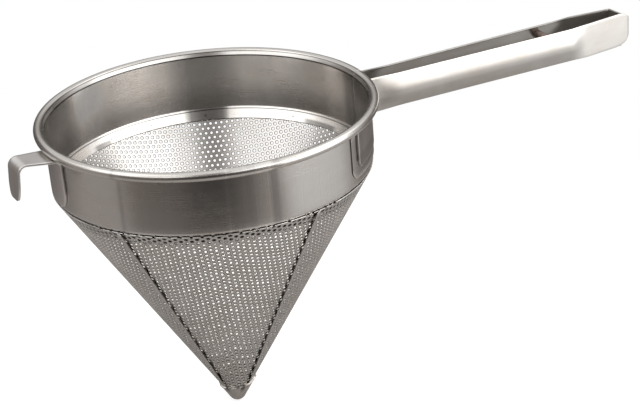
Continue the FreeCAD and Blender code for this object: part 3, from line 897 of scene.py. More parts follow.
class SheetNodes:
    """The nodes that perforate a flat sheet, thicken it and roll it into its part of the cone."""

    hole_corners = 8
    margin_columns = 7
    cut_hole_rise = 0.4
    seam_fade = 3 * MM
    lifted_share = 0.55
    rim_nearness = 0.02 * MM
    lone_edge_faces = 1.5

    def __init__(self):
        self.tree = bpy.data.node_groups.new("Perforated sheet", "GeometryNodeTree")
        for kind, labels in SHEET_INPUTS.items():
            for label in labels:
                self.tree.interface.new_socket(label, in_out="INPUT", socket_type=kind)
        self.tree.interface.new_socket("Geometry", in_out="OUTPUT", socket_type="NodeSocketGeometry")
        self.given = self.tree.nodes.new("NodeGroupInput").outputs
        self.hole_radius = self.calc("MULTIPLY", self.given["Hole Diameter"], 0.5)
        self.cell_radius = self.calc("MULTIPLY", self.given["Hole Pitch"], 1 / math.sqrt(3))
        field = self.field()
        seamed = self.merged(*self.margins(), field)
        flat = self.put("GeometryNodeSwitch", {"Switch": self.given["Seams"], "False": field, "True": seamed},
                        input_type="GEOMETRY")
        rolled = self.realized(self.rolled(self.thickened(flat)))
        dressed = self.put("GeometryNodeSetMaterial", {"Geometry": rolled, "Material": self.given["Steel"]})
        self.tree.links.new(dressed, self.tree.nodes.new("NodeGroupOutput").inputs[0])

    def put(self, kind, inputs=None, **settings):
        """The first output of a new node."""
        return put(self.tree, kind, inputs, **settings).outputs[0]

    def calc(self, operation, *values):
        return calc(self.tree, operation, *values)

    def test(self, first, operation, second):
        return self.put("FunctionNodeCompare", {0: first, 1: second}, data_type="FLOAT", operation=operation)

    def logic(self, operation, *values):
        return self.put("FunctionNodeBooleanMath", dict(enumerate(values)), operation=operation)

    def place(self):
        """The three coordinates of every point."""
        return split(self.tree, self.put("GeometryNodeInputPosition"))

    def reach(self):
        """How far every point lies from the sheet's apex."""
        return vector_value(self.tree, "LENGTH", self.put("GeometryNodeInputPosition"))

    def moved(self, geometry, place):
        return self.put("GeometryNodeSetPosition", {"Geometry": geometry, "Position": place})

    def without(self, geometry, selection, domain):
        return self.put("GeometryNodeDeleteGeometry", {"Geometry": geometry, "Selection": selection},
                        domain=domain)

    def together(self, *parts):
        node = put(self.tree, "GeometryNodeJoinGeometry")
        for part in parts:
            self.tree.links.new(part, node.inputs[0])
        return node.outputs[0]

    def merged(self, *parts):
        whole = self.together(*parts) if len(parts) > 1 else parts[0]
        return self.put("GeometryNodeMergeByDistance", {"Geometry": whole, "Distance": SAME_CELL_POINT})

    def realized(self, geometry):
        return self.put("GeometryNodeRealizeInstances", {0: geometry})

    def copies(self, shape, points):
        """The shape laid on every point."""
        laid = self.put("GeometryNodeInstanceOnPoints", {"Points": points, "Instance": shape})
        return self.realized(laid)

    def flipped(self, geometry):
        return self.put("GeometryNodeFlipFaces", {0: geometry})

    def circle(self, corners, radius):
        return self.put("GeometryNodeCurvePrimitiveCircle", {"Resolution": corners, "Radius": radius})

    def filled(self, *outlines):
        return self.put("GeometryNodeFillCurve", {0: self.together(*outlines)})

    def grid(self, columns, rows, width=1.0, height=1.0):
        return self.put("GeometryNodeMeshGrid", {"Size X": width, "Size Y": height, "Vertices X": columns,
                                                 "Vertices Y": rows})

    def outline(self, mesh, selection):
        return self.put("GeometryNodeMeshToCurve", {"Mesh": mesh, "Selection": selection})

    def marked(self, geometry, name, value):
        inputs = {"Geometry": geometry, "Name": name, "Value": value}
        return self.put("GeometryNodeStoreNamedAttribute", inputs, data_type="BOOLEAN", domain="POINT")

    def on_circle(self, radius, turn, height):
        return combine(self.tree, self.calc("MULTIPLY", radius, self.calc("COSINE", turn)),
                       self.calc("MULTIPLY", radius, self.calc("SINE", turn)), height)

    def slant_of(self, x, y):
        return self.calc("SQRT", self.calc("MULTIPLY_ADD", x, x, self.calc("MULTIPLY", y, y)))

    def slant_along(self, along):
        """The slant at a share of the sheet's length, where along runs from -0.5 to 0.5."""
        share_up = self.calc("ADD", along, 0.5)
        length_up = self.calc("SUBTRACT", self.given["Slant To"], self.given["Slant From"])
        return self.calc("MULTIPLY_ADD", share_up, length_up, self.given["Slant From"])

    def side_sector(self, slant, inset):
        """The sector at which a line runs beside the seam."""
        turned_in = self.calc("ARCSINE", self.calc("DIVIDE", inset, slant))
        return self.calc("SUBTRACT", self.given["Half Sector"], turned_in)

    def staggered_points(self):
        """Rows of points one pitch apart, every second row half a pitch along."""
        pitch = self.given["Hole Pitch"]
        count = self.given["Pattern Count"]
        row_step = self.calc("MULTIPLY", pitch, math.sin(math.radians(60)))
        gaps = self.calc("SUBTRACT", count, 1.0)
        points = self.grid(count, count, self.calc("MULTIPLY", pitch, gaps),
                           self.calc("MULTIPLY", row_step, gaps))
        x, y = self.place()[:2]
        row = self.calc("ROUND", self.calc("DIVIDE", y, row_step))
        half_odd = self.calc("MULTIPLY", self.calc("FLOORED_MODULO", row, 2.0), 0.5)
        staggered = combine(self.tree, self.calc("ADD", x, self.calc("MULTIPLY", half_odd, pitch)), y, 0.0)
        turned = {"Vector": staggered, "Angle": self.given["Pattern Turn"]}
        return self.moved(points, self.put("ShaderNodeVectorRotate", turned, rotation_type="Z_AXIS"))

    def chosen(self, points):
        """The points whose cell lies whole inside the sheet, and those of which only the hole does."""
        x, y = self.place()[:2]
        slant = self.slant_of(x, y)
        sector = self.calc("ABSOLUTE", self.calc("ARCTAN2", y, x))
        off_seam = self.calc("SINE", self.calc("SUBTRACT", self.given["Half Sector"], sector))
        to_edge = self.calc("SUBTRACT", self.calc("MULTIPLY", slant, off_seam), self.given["Edge Inset"])
        cell_need = self.calc("ADD", self.cell_radius, self.given["Cell Border"])
        hole_need = self.calc("ADD", self.hole_radius, self.given["Cell Border"])
        cell_top = self.calc("SUBTRACT", self.given["Slant To"], cell_need)
        hole_top = self.calc("MULTIPLY_ADD", self.hole_radius, self.cut_hole_rise, self.given["Slant To"])

        def off_sheet(need, top):
            aside = self.test(to_edge, "LESS_THAN", need)
            above = self.test(slant, "GREATER_THAN", top)
            below = self.test(slant, "LESS_THAN", self.calc("ADD", self.given["Slant From"], need))
            return self.logic("OR", self.logic("OR", aside, above), below)

        no_cell = off_sheet(cell_need, cell_top)
        no_hole = off_sheet(hole_need, hole_top)
        has_cell = self.logic("NOT", no_cell)
        cell_points = self.without(points, no_cell, "POINT")
        return cell_points, self.without(points, self.logic("OR", no_hole, has_cell), "POINT")

    def cell(self, hole):
        """One six sided cell round its hole, with its corners marked."""
        six = self.circle(6, self.cell_radius)
        turn = self.calc("ADD", self.given["Pattern Turn"], math.radians(30))
        turned = combine(self.tree, 0.0, 0.0, turn)
        six = self.put("GeometryNodeTransform", {"Geometry": six, "Rotation": turned})
        between = self.calc("MULTIPLY", self.calc("ADD", self.hole_radius, self.cell_radius), 0.5)
        return self.marked(self.filled(six, hole), "corner", self.test(self.reach(), "GREATER_THAN", between))

    def field(self):
        """The flat perforated sheet up to its margins: whole cells and a border with cut holes."""
        every_point = self.staggered_points()
        cell_points, edge_points = self.chosen(every_point)
        hole = self.circle(self.hole_corners, self.hole_radius)
        cells = self.merged(self.copies(self.cell(hole), cell_points))
        lone = self.test(self.put("GeometryNodeInputMeshEdgeNeighbors"), "LESS_THAN", self.lone_edge_faces)
        corner = self.put("GeometryNodeInputNamedAttribute", {"Name": "corner"}, data_type="BOOLEAN")
        inner = self.outline(cells, self.logic("AND", lone, corner))
        outer = self.outline(self.grid(self.given["Along Count"], self.given["Around Count"]), lone)
        along, across = self.place()[:2]
        slant = self.slant_along(along)
        side = self.side_sector(slant, self.given["Edge Inset"])
        sector = self.calc("MULTIPLY", self.calc("MULTIPLY", across, 2.0), side)
        outer = self.moved(outer, self.on_circle(slant, sector, 0.0))
        border = self.filled(inner, outer, self.copies(hole, edge_points))
        past_edge = self.test(self.reach(), "GREATER_THAN", self.given["Slant To"])
        field = self.merged(cells, self.without(border, past_edge, "FACE"))
        near = put(self.tree, "GeometryNodeProximity", {0: every_point}, target_element="POINTS")
        off_rim = self.calc("SUBTRACT", near.outputs["Distance"], self.hole_radius)
        on_rim = self.test(self.calc("ABSOLUTE", off_rim), "LESS_THAN", self.rim_nearness)
        return self.marked(field, "hole_rim", on_rim)

    def margins(self):
        """The raised plain margins along the two seams, with a lifted free edge."""
        width = self.given["Edge Inset"]
        seam_end = self.given["Seam End"]
        margin = self.grid(self.given["Along Count"], self.margin_columns)
        along, across = self.place()[:2]
        slant = self.slant_along(along)
        across = self.calc("ADD", across, 0.5)
        inset = self.calc("MULTIPLY", width, self.calc("SUBTRACT", 1.0, across))
        walked = self.calc("MULTIPLY", width, across)
        step_up = span(self.tree, walked, 0.0, self.given["Seam Step"], smooth=True)
        lifted = self.calc("MULTIPLY", width, self.lifted_share)
        edge_up = span(self.tree, inset, 0.0, lifted, self.given["Edge Lift"], 0.0, smooth=True)
        fade = span(self.tree, slant, seam_end, self.calc("ADD", seam_end, self.seam_fade), smooth=True)
        raised = self.calc("MULTIPLY_ADD", step_up, self.given["Seam Rise"], edge_up)
        rise = self.calc("MULTIPLY", raised, fade)
        margin = self.moved(margin, self.on_circle(slant, self.side_sector(slant, inset), rise))
        mirrored = self.put("GeometryNodeTransform", {"Geometry": margin, "Scale": (1.0, -1.0, 1.0)})
        return self.flipped(mirrored), margin

    def thickened(self, flat):
        """The flat sheet with its thickness on its upper side."""
        push = combine(self.tree, 0.0, 0.0, self.given["Thickness"])
        raised = self.put("GeometryNodeExtrudeMesh", {"Mesh": flat, "Offset": push, "Individual": False},
                          mode="FACES")
        return self.merged(self.flipped(flat), raised)

    def rolled(self, solid):
        """The flat sheet rolled up about the cone's axis."""
        x, y, z = self.place()
        slant = self.slant_of(x, y)
        sine = self.calc("SINE", self.given["Cone Half Angle"])
        cosine = self.calc("COSINE", self.given["Cone Half Angle"])
        wound = self.calc("DIVIDE", self.calc("ARCTAN2", y, x), sine)
        turn = self.calc("ADD", wound, self.given["Bearing"])
        lift = self.calc("ADD", z, self.given["Lift"])
        radius = self.calc("MULTIPLY_ADD", slant, sine, self.calc("MULTIPLY", lift, cosine))
        sunk = self.calc("SUBTRACT", self.given["Apex Height"], self.calc("MULTIPLY", lift, sine))
        height = self.calc("MULTIPLY_ADD", slant, cosine, sunk)
        return self.flipped(self.moved(solid, self.on_circle(radius, turn, height)))


def perforated(name, tree, values):
    """The plain mesh that the tree gives for one set of values."""
    holder = new_holder(name, bpy.data.meshes.new(name + "_seed"))
    modifier = holder.modifiers.new("Perforated sheet", "NODES")
    modifier.node_group = tree
    for item in tree.interface.items_tree:
        if item.in_out == "INPUT":
            modifier[item.identifier] = values[item.name]
    mesh = mesh_of(name, holder)
    if not mesh.polygons:
        raise RuntimeError(name + " came out empty")
    return mesh


class STRAINER_OT_sheets(bpy.types.Operator):
    """Perforates and rolls the two sheets of the cone"""

    bl_idname = "strainer.sheets"
    bl_label = "Perforated sheets"

    def execute(self, context):
        size = context.scene.sheet_sizes
        cone = Cone(context.scene)
        tree = SheetNodes().tree
        unrolled = math.sin(cone.half)
        half_front = size.front_spread / 2
        shared = {
            "Hole Diameter": size.hole_diameter,
            "Hole Pitch": size.hole_pitch,
            "Cell Border": size.cell_border,
            "Seam Step": size.seam_step,
            "Seam Rise": cone.cover_in - cone.sheet_in,
            "Seam End": cone.cap_slant,
            "Edge Lift": size.edge_lift,
            "Slant From": cone.end,
            "Slant To": cone.top,
            "Thickness": size.shown_thickness,
            "Lift": cone.sheet_out - size.shown_thickness,
            "Cone Half Angle": cone.half,
            "Apex Height": cone.apex,
            "Pattern Count": 127,
            "Along Count": 60,
        }
        front = {
            "Pattern Turn": size.front_turn,
            "Half Sector": half_front * unrolled,
            "Edge Inset": -size.seam_cover,
            "Bearing": size.front_bearing,
            "Around Count": 60,
            "Seams": False,
        }
        back = {
            "Pattern Turn": size.back_turn,
            "Half Sector": (math.pi - half_front) * unrolled,
            "Edge Inset": size.seam_width,
            "Bearing": size.front_bearing + math.pi,
            "Around Count": 200,
            "Seams": True,
        }
        for name, own, steel_name, node in (
                ("front_perforated_sheet", front, "sheet_milled", "cone_sheet_front"),
                ("back_perforated_sheet", back, "back_sheet_milled", "cone_sheet_back")):
            mesh = perforated(name, tree, {**shared, **own, "Steel": finish(steel_name)})
            make_piece(name, mesh, steel_name, "sheet_steel", node)
        return {"FINISHED"}


class STRAINER_OT_tip_cap(bpy.types.Operator):
    """Presses the rounded cap over the cone's point"""

    bl_idname = "strainer.tip_cap"
    bl_label = "Tip cap"

    def execute(self, context):
        size = context.scene.cap_sizes
        cone = Cone(context.scene)
        around = 96
        side_rows = 6
        nose_rows = 8
        flared_width = 0.9 * MM
        flare_end = 1.4 * MM
        crease_run = 7 * MM
        crease_spread = 0.11
        mean_radius = 8 * MM

        def near(turn, bearing, spread):
            """From 1 at the bearing down to 0 well away from it."""
            off = math.remainder(turn - bearing, 2 * math.pi) / spread
            return math.exp(-off * off)

        def outline(turn, lift, nose, flare):
            """One face of the cap from its rim down to its lowest point."""
            rim = cone.cap_slant + size.skew * (math.cos(turn - size.skew_bearing) - 1) / 2
            rim += size.ear * near(turn, size.skew_bearing, size.ear_spread)
            points = [cone.flat(rim, lift + flare), cone.flat(rim - flared_width, lift + flare)]
            for i in range(side_rows):
                points.append(cone.flat(lerp(rim - flare_end, cone.nose_slant, i / side_rows), lift))
            for i in range(nose_rows + 1):
                bend = lerp(cone.half, math.pi / 2, i / nose_rows)
                points.append(Vector((0.0, cone.nose_centre)) + on_circle(nose, -bend))
            return points

        rows = []
        for i in range(around):
            turn = 2 * math.pi * i / around
            pressed = size.crease_depth * sum(near(turn, math.radians(bearing), crease_spread)
                                              for bearing in CAP_CREASES)
            outer = outline(turn, cone.cap_out, size.nose_radius, size.rim_flare)
            inner = outline(turn, cone.cover_in, size.nose_radius - size.sheet, 0.0)
            row = []
            for p in outer:
                sunk = pressed * eased(1 - (outer[0].y - p.y) / crease_run)
                row.append(polar(p.x - sunk, turn, p.y))
            rows.append(row + [polar(p.x, turn, p.y) for p in reversed(inner)])
        along = run_lengths(rows[0] + rows[0][:1])
        step = 2 * math.pi * mean_radius / around
        mesh = grid_mesh("tip_cup", rows, lambda i, j: (step * i, along[j]), True, True)
        make_piece("tip_cup", closed_up(mesh), "cap_satin", "cap_steel", "tip_cap")
        return {"FINISHED"}


class STRAINER_OT_saddle(bpy.types.Operator):
    """Bends the saddle plate on the collar's wall"""

    bl_idname = "strainer.saddle"
    bl_label = "Saddle plate"

    def execute(self, context):
        size = context.scene.handle_sizes
        inside = Cone(context.scene).wall_out + context.scene.sheet_sizes.seat_gap
        bottom = size.saddle_lift - context.scene.collar_sizes.depth
        reach = size.saddle_sweep * inside
        corner = size.saddle_corner
        corner_columns = 10
        half_columns = 40
        plate_rows = 8
        broken_edge = 0.2 * MM
        quarter = math.pi / 2 / corner_columns
        runs = [-reach + corner * (1 - math.cos(quarter * i)) for i in range(corner_columns)]
        runs += [lerp(-reach + corner, 0, i / half_columns) for i in range(half_columns + 1)]
        runs += [-run for run in runs[-2::-1]]
        rows = []
        for run in runs:
            short = corner - min(corner, reach - abs(run))
            low = bottom + corner - math.sqrt(max(0.0, corner ** 2 - short ** 2))
            heights = [lerp(low, -size.saddle_drop, j / plate_rows) for j in range(plate_rows + 1)]
            rows.append([polar(inside, run / inside, height) for height in heights])
        mesh = grid_mesh("saddle_plate", rows, lambda i, j: (runs[i], rows[i][j].z))
        mesh = closed_up(thickened("saddle_plate", mesh, size.saddle_shown, broken_edge))
        make_piece("saddle_plate", mesh, "collar_brushed", "collar_steel", "handle_saddle")
        return {"FINISHED"}


class HandlePlan:
    """The front strip's places, with x along the handle: the back strip mirrors it but for its end."""

    foot_pieces = 48
    bend_pieces = 10
    grip_pieces = 96
    half_columns = 8
    corner_power = 2.6
    broken_edge = 0.22 * MM
    web_run_up = 2.5 * MM
    web_arc_step = 0.3 * MM
    web_step = 2 * MM

    def __init__(self, scene):
        size = scene.handle_sizes
        collar = scene.collar_sizes
        wall_out = Cone(scene).wall_out
        self.size = size
        self.gap = scene.sheet_sizes.seat_gap
        self.top = collar.bead_rise - collar.bead_diameter / 2 - size.strip_clearance
        self.foot = wall_out + self.gap + size.saddle_sheet + self.gap
        self.bend_out = size.root_bend + size.strip_thickness
        self.bend = Vector((0.0, -size.root_gap / 2 - self.bend_out))
        self.bend.x = math.sqrt((self.foot + self.bend_out) ** 2 - self.bend.y ** 2)
        self.root_end = self.bend.x + size.root_straight
        self.handle_end = wall_out + size.reach
        self.plate_start = self.handle_end - size.end_plate
        self.crown_start = self.root_end + size.root_ramp
        self.crown_end = self.plate_start - size.end_ramp
        self.web_face = self.handle_end - size.web_setback

    def half_gap(self, x):
        """From the handle's middle to the strip's inner face."""
        root, grip, end = (gap / 2 for gap in (self.size.root_gap, self.size.grip_gap, self.size.end_gap))
        if x < self.crown_start:
            return root
        if x < self.crown_end:
            return lerp(root, grip, (x - self.crown_start) / (self.crown_end - self.crown_start))
        if x < self.plate_start:
            return grip
        return lerp(grip, end, (x - self.plate_start) / self.size.end_plate)

    def path(self, last):
        """The inner face, seen from above, from the foot's end to its far end."""
        size = self.size
        bend_bearing = math.atan2(self.bend.y, self.bend.x)
        points = []
        for i in range(self.foot_pieces + 1):
            turn = lerp(-size.foot_sweep, bend_bearing, i / self.foot_pieces)
            walked = (turn + size.foot_sweep) * self.foot
            lifted = eased(1 - walked / size.foot_lift_run) * size.foot_lift
            points.append(on_circle(self.foot + lifted, turn))
        for i in range(1, self.bend_pieces + 1):
            turn = lerp(bend_bearing + math.pi, math.pi / 2, i / self.bend_pieces)
            points.append(self.bend + on_circle(self.bend_out, turn))
        for i in range(1, self.grip_pieces + 1):
            x = lerp(self.bend.x, last, i / self.grip_pieces)
            points.append(Vector((x, -self.half_gap(x))))
        return points

    def back_path(self):
        """The same line, turned across to the other strip at its end."""
        half_gap = self.half_gap(self.web_face)
        corner = Vector((self.web_face - self.size.strip_thickness, -half_gap))
        far_side = Vector((corner.x, half_gap - self.gap))
        path = [p for p in self.path(self.web_face) if p.x < corner.x - self.web_run_up]
        turned = rounded_path([path[-1], corner, far_side], [self.size.web_bend], self.web_arc_step)
        return path + divided(turned[1:], self.web_step)

    def back_edges(self, x, walked):
        """Lower and upper edge of a strip that is rounded at its foot."""
        size = self.size
        into = max(0.0, 1 - walked / size.foot_corner)
        low = self.top - size.strip_height
        return low + size.foot_corner * (1 - math.sqrt(max(0.0, 1 - into * into))), self.top

    def front_edges(self, x, walked):
        """Lower and upper edge of the front strip, with its rounded and chamfered far end."""
        size = self.size
        foot_low, high = self.back_edges(x, walked)
        into = max(0.0, x - (self.handle_end - size.corner_run)) / size.corner_run
        rounded = 1 - math.sqrt(max(0.0, 1 - into ** self.corner_power))
        low = self.top - size.strip_height + size.corner_rise * rounded
        past = max(0.0, x - (self.handle_end - size.chamfer_run))
        return max(low, foot_low), high - size.chamfer_rise * past / size.chamfer_run

    def strip(self, name, path, edges, side):
        """One strip along its path, crowned at its grip; side is 1 in front and -1 behind."""
        size = self.size
        run = run_lengths(path)
        crown_from = run[self.foot_pieces + self.bend_pieces + 2]
        rows = []
        for p, normal, walked in zip(path, left_normals(path), run):
            low, high = edges(p.x, walked)
            bulge = 0.0
            if walked > crown_from:
                bulge = eased((p.x - self.root_end) / size.root_ramp)
                bulge *= eased((self.plate_start - p.x) / size.end_ramp)
            shrink = size.crown_draw_in / 2 * bulge
            row = []
            for j in range(2 * self.half_columns + 1):
                t = j / self.half_columns - 1
                z = lerp(low + shrink, high - shrink, (t + 1) / 2)
                q = p - normal * size.crown_rise * bulge * (1 - t * t)
                row.append(Vector((q.x, side * q.y, z)))
            rows.append(row)
        mesh = grid_mesh(name, rows, lambda i, j: (run[i], rows[i][j].z))
        if side > 0:
            mesh.flip_normals()
        return closed_up(thickened(name, mesh, size.strip_thickness, self.broken_edge))


class STRAINER_OT_strips(bpy.types.Operator):
    """Forms the two strips of the handle, the back one with its end turned across"""

    bl_idname = "strainer.strips"
    bl_label = "Handle strips"

    def execute(self, context):
        plan = HandlePlan(context.scene)
        front = plan.strip("front_handle_strip", plan.path(plan.handle_end), plan.front_edges, 1)
        make_piece("front_handle_strip", front, "strip_brushed", "strip_steel", "handle_front")
        back = plan.strip("back_handle_strip", plan.back_path(), plan.back_edges, -1)
        make_piece("back_handle_strip", back, "strip_brushed", "strip_steel", "handle_back", "handle_end_web")
        return {"FINISHED"}


class STRAINER_OT_pin(bpy.types.Operator):
    """Turns the cross pin between the strips"""

    bl_idname = "strainer.pin"
    bl_label = "Cross pin"

    def execute(self, context):
        size = context.scene.handle_sizes
        low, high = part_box("handle_pin")
        centre = (low + high) / 2
        radius = size.pin_diameter / 2
        half = (high.y - low.y) / 2
        cut = size.pin_chamfer
        around = 40
        outline = [(0.0, -half), (radius - cut, -half), (radius, cut - half), (radius, 0.0),
                   (radius, half - cut), (radius - cut, half), (0.0, half)]
        rows = []
        for i in range(around):
            turn = 2 * math.pi * i / around
            rows.append([centre + Vector((r * math.cos(turn), y, r * math.sin(turn))) for r, y in outline])
        step = 2 * math.pi * radius / around
        mesh = grid_mesh("cross_pin", rows, lambda i, j: (outline[j][1], step * i), True)
        make_piece("cross_pin", closed_up(mesh), "pin_tinted", "pin_steel", "handle_pin")
        return {"FINISHED"}


class STRAINER_OT_hook(bpy.types.Operator):
    """Bends the rest hook across from the handle"""

    bl_idname = "strainer.hook"
    bl_label = "Rest hook"

    def execute(self, context):
        size = context.scene.hook_sizes
        collar = context.scene.collar_sizes
        cone = Cone(context.scene)
        columns = 12
        path_step = 1.0 * MM
        broken_edge = 0.25 * MM
        curved_share = 0.25
        inside = cone.wall_out + context.scene.sheet_sizes.seat_gap
        thick = size.thickness
        bead_ring = collar.rim_diameter / 2 - collar.bead_diameter / 2
        top = collar.bead_rise - collar.bead_diameter / 2 - size.clearance
        along = on_circle(1.0, size.climb)
        across = Vector((-along.y, along.x))
        down = Vector((math.sin(size.splay), -math.cos(size.splay)))
        facing = Vector((-down.y, down.x))
        under = Vector((bead_ring, top - thick / along.x))
        root_x = inside + thick + size.root_bend
        drop_x = inside + size.reach - (size.bend + thick) * facing.x
        walk = (drop_x + across.x * size.bend - under.x) / along.x
        pivot = under + along * walk - across * size.bend
        leg = (pivot.y + (size.bend + thick) * facing.y - top + size.drop) / facing.x
        corners = [
            Vector((inside + thick, size.lift - collar.depth)),
            under + along * ((inside + thick - under.x) / along.x),
            pivot + (across + facing) * (size.bend / (1 + across.dot(facing))),
            pivot + facing * size.bend + down * leg,
        ]
        path = divided(rounded_path(corners, [size.root_bend, size.bend], ARC_STEP), path_step)
        run = run_lengths(path)
        turned = Matrix.Rotation(size.bearing, 3, "Z")
        rows = []
        for p, walked in zip(path, run):
            into = max(0.0, 1 - min(walked, run[-1] - walked) / size.taper)
            out = min(1.0, max(0.0, (p.x - root_x) / (drop_x - root_x)))
            half = lerp(size.width, size.leg_width, out) / 2
            half *= size.end_share + (1 - size.end_share) * math.sqrt(1 - into * into)
            row = []
            for j in range(columns + 1):
                aside = lerp(-half, half, j / columns)
                follow = aside * aside / (2 * cone.wall_out) * eased(1 - out / curved_share)
                row.append(turned @ Vector((p.x - follow, aside, p.y)))
            rows.append(row)
        mesh = grid_mesh("rest_hook", rows, lambda i, j: (run[i], j / columns * size.width))
        mesh = closed_up(thickened("rest_hook", mesh, thick, broken_edge))
        make_piece("rest_hook", mesh, "hook_brushed", "strip_steel", "hook")
        return {"FINISHED"}


class STRAINER_OT_stage(bpy.types.Operator):
    """Sets the floor, the soft light and the camera"""

    bl_idname = "strainer.stage"
    bl_label = "Studio"

    def execute(self, context):
        scene = context.scene
        size = scene.stage_settings
        scene.view_settings.view_transform = "Standard"
        self.place_camera(scene, size)
        self.lay_floor(scene, size)
        self.light_sky(scene, size)
        for name, power, sides, place, aim in LAMPS:
            self.hang_lamp(scene, name, getattr(size, power), sides, self.turned(size, place), Vector(aim))
        return {"FINISHED"}

    def turned(self, size, vector):
        """A direction of the picture, turned into the strainer's frame."""
        return Matrix.Rotation(size.bearing, 3, "Z") @ Vector(vector)

    def place_camera(self, scene, size):
        forward = Vector((0.0, math.cos(size.elevation), -math.sin(size.elevation)))
        right = Vector((1.0, 0.0, 0.0))
        up = right.cross(forward)
        place = -forward * size.distance + right * size.slide_right + up * size.slide_up
        rolled_right = right * math.cos(size.roll) + up * math.sin(size.roll)
        rolled_up = up * math.cos(size.roll) - right * math.sin(size.roll)
        sides = [self.turned(size, side) for side in (rolled_right, rolled_up, -forward)]
        matrix = Matrix(sides).transposed().to_4x4()
        matrix.translation = self.turned(size, place) + Vector((0.0, 0.0, scene.collar_sizes.bead_rise))
        data = bpy.data.cameras.new("studio_camera")
        data.sensor_fit = "HORIZONTAL"
        data.sensor_width = 36.0
        data.lens = size.lens
        data.clip_end = 50.0
        camera = bpy.data.objects.new("studio_camera", data)
        camera.matrix_world = matrix
        scene.collection.objects.link(camera)
        scene.camera = camera

    def lay_floor(self, scene, size):
        """A pale round floor that keeps the shadow and melts into the white at its edge."""
        segments = 96
        mottle_scale = 3.0
        mottle_gain = 1.04
        melt_from = size.floor_radius * 0.55
        melt_to = size.floor_radius * 0.98
        work = bmesh.new()
        bmesh.ops.create_circle(work, cap_ends=True, segments=segments, radius=size.floor_radius)
        bmesh.ops.translate(work, verts=work.verts, vec=(0.0, 0.0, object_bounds()[0].z))
        mesh = bpy.data.meshes.new("studio_floor")
        work.to_mesh(mesh)
        work.free()
        material = bpy.data.materials.new("studio_floor")
        material.use_nodes = True
        tree = material.node_tree
        tree.nodes.clear()
        rays = put(tree, "ShaderNodeLightPath").outputs
        place = object_place(tree)
        paler = opaque(min(1.0, part * mottle_gain) for part in size.floor_colour)
        pale = blend_colours(tree, noise(tree, place, mottle_scale), opaque(size.floor_colour), paler)
        diffuse = put(tree, "ShaderNodeBsdfDiffuse", {"Color": pale}).outputs[0]
        seen = calc(tree, "MAXIMUM", rays["Is Camera Ray"], rays["Is Transmission Ray"])
        lift = calc(tree, "MULTIPLY_ADD", rays["Is Glossy Ray"], size.floor_glint,
                    calc(tree, "MULTIPLY", seen, size.floor_lift))
        glow = put(tree, "ShaderNodeEmission", {"Strength": lift}).outputs[0]
        lit = put(tree, "ShaderNodeAddShader", {0: diffuse, 1: glow}).outputs[0]
        reach = vector_value(tree, "LENGTH", without_height(tree, place))
        melt = span(tree, reach, melt_from, melt_to, smooth=True)
        clear = put(tree, "ShaderNodeBsdfTransparent").outputs[0]
        mixed = put(tree, "ShaderNodeMixShader", {0: melt, 1: lit, 2: clear}).outputs[0]
        put(tree, "ShaderNodeOutputMaterial", {0: mixed})
        mesh.materials.append(material)
        floor = bpy.data.objects.new("studio_floor", mesh)
        scene.collection.objects.link(floor)
        floor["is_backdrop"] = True

    def light_sky(self, scene, size):
        """White for the camera, and for the steel a bright ceiling over a dim front and light sides."""
        zenith = (math.radians(50), math.radians(65))
        zenith_level = 0.55
        notch_width = (math.radians(2), math.radians(6))
        notch_depth = 0.35
        front_part = (0.0, 0.3)
        warm_levels = (0.2, 0.7)
        world = bpy.data.worlds.new("studio_sky")
        scene.world = world
        world.use_nodes = True
        tree = world.node_tree
        tree.nodes.clear()
        rays = put(tree, "ShaderNodeLightPath").outputs
        way = put(tree, "ShaderNodeTexCoord").outputs["Generated"]
        front = vector_value(tree, "DOT_PRODUCT", way, self.turned(size, (0.0, -1.0, 0.0)))
        right = vector_value(tree, "DOT_PRODUCT", way, self.turned(size, (1.0, 0.0, 0.0)))
        elevation = calc(tree, "ARCSINE", split(tree, way)[2])
        around = span(tree, calc(tree, "ARCTAN2", right, front), -math.pi, math.pi)
        room = product(tree, levels(tree, around, ROOM_LEVELS), size.side_light)
        overhead = span(tree, elevation, *zenith, smooth=True)
        bars = mix(tree, overhead, levels(tree, around, CEILING_BARS), zenith_level)
        off_notch = calc(tree, "ABSOLUTE", calc(tree, "SUBTRACT", elevation, size.notch))
        ahead = span(tree, front, *front_part, 1.0, notch_depth, smooth=True)
        dim = span(tree, off_notch, *notch_width, ahead, 1.0, smooth=True)
        bright = product(tree, bars, dim, size.ceiling_light)
        ceiling = span(tree, elevation, size.ceiling_from, size.ceiling_to, smooth=True)
        level = mix(tree, ceiling, room, bright)
        seen = calc(tree, "MAXIMUM", rays["Is Camera Ray"], rays["Is Transmission Ray"])
        pure = calc(tree, "MAXIMUM", seen, span(tree, level, *warm_levels))
        tone = blend_colours(tree, pure, opaque(size.room_colour), (1.0, 1.0, 1.0, 1.0))
        sky = put(tree, "ShaderNodeBackground", {"Color": tone, "Strength": mix(tree, seen, level, 1.0)})
        put(tree, "ShaderNodeOutputWorld", {0: sky.outputs[0]})

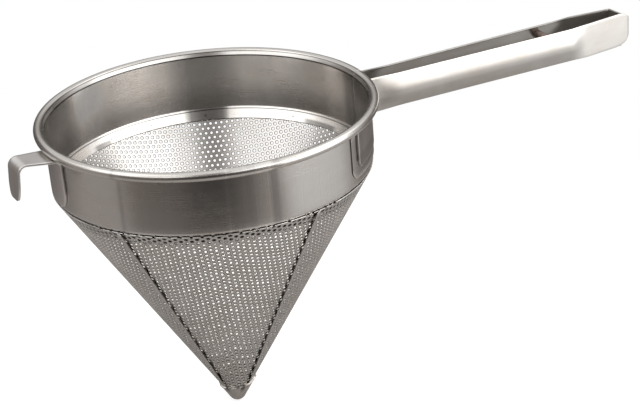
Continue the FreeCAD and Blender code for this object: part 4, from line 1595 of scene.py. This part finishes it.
    def hang_lamp(self, scene, name, power, sides, place, aim):
        data = bpy.data.lights.new(name, "AREA")
        data.shape = "RECTANGLE"
        data.size, data.size_y = sides
        data.energy = power
        lamp = bpy.data.objects.new(name, data)
        lamp.location = place
        lamp.rotation_euler = (place - aim).to_track_quat("Z", "Y").to_euler()
        lamp.visible_camera = False
        scene.collection.objects.link(lamp)


class STRAINER_PT_pieces(bpy.types.Panel):
    """Lists the strainer's pieces and their sizes"""

    bl_idname = "STRAINER_PT_pieces"
    bl_label = "Chinois strainer"
    bl_space_type = "VIEW_3D"
    bl_region_type = "UI"
    bl_category = "Strainer"

    def draw(self, context):
        for operator in OPERATORS:
            self.layout.operator(operator.bl_idname)
        for name, group in GROUPS:
            box = self.layout.box()
            box.label(text=group.__doc__)
            for key in group.__annotations__:
                box.prop(getattr(context.scene, name), key)


GROUPS = (("collar_sizes", CollarSizes), ("sheet_sizes", SheetSizes), ("cap_sizes", CapSizes),
          ("handle_sizes", HandleSizes), ("hook_sizes", HookSizes), ("steel_finish", SteelFinish),
          ("stage_settings", StageSettings))
OPERATORS = (STRAINER_OT_collar, STRAINER_OT_sheets, STRAINER_OT_tip_cap, STRAINER_OT_saddle,
             STRAINER_OT_strips, STRAINER_OT_pin, STRAINER_OT_hook, STRAINER_OT_stage)


def register():
    for name, group in GROUPS:
        bpy.utils.register_class(group)
        setattr(bpy.types.Scene, name, bpy.props.PointerProperty(type=group))
    for each in (*OPERATORS, STRAINER_PT_pieces):
        bpy.utils.register_class(each)


def unregister():
    for each in (STRAINER_PT_pieces, *reversed(OPERATORS)):
        bpy.utils.unregister_class(each)
    for name, group in reversed(GROUPS):
        delattr(bpy.types.Scene, name)
        bpy.utils.unregister_class(group)


def main():
    register()
    bpy.ops.strainer.collar()
    bpy.ops.strainer.sheets()
    bpy.ops.strainer.tip_cap()
    bpy.ops.strainer.saddle()
    bpy.ops.strainer.strips()
    bpy.ops.strainer.pin()
    bpy.ops.strainer.hook()
    bpy.ops.strainer.stage()


if __name__ == "__main__":
    main()
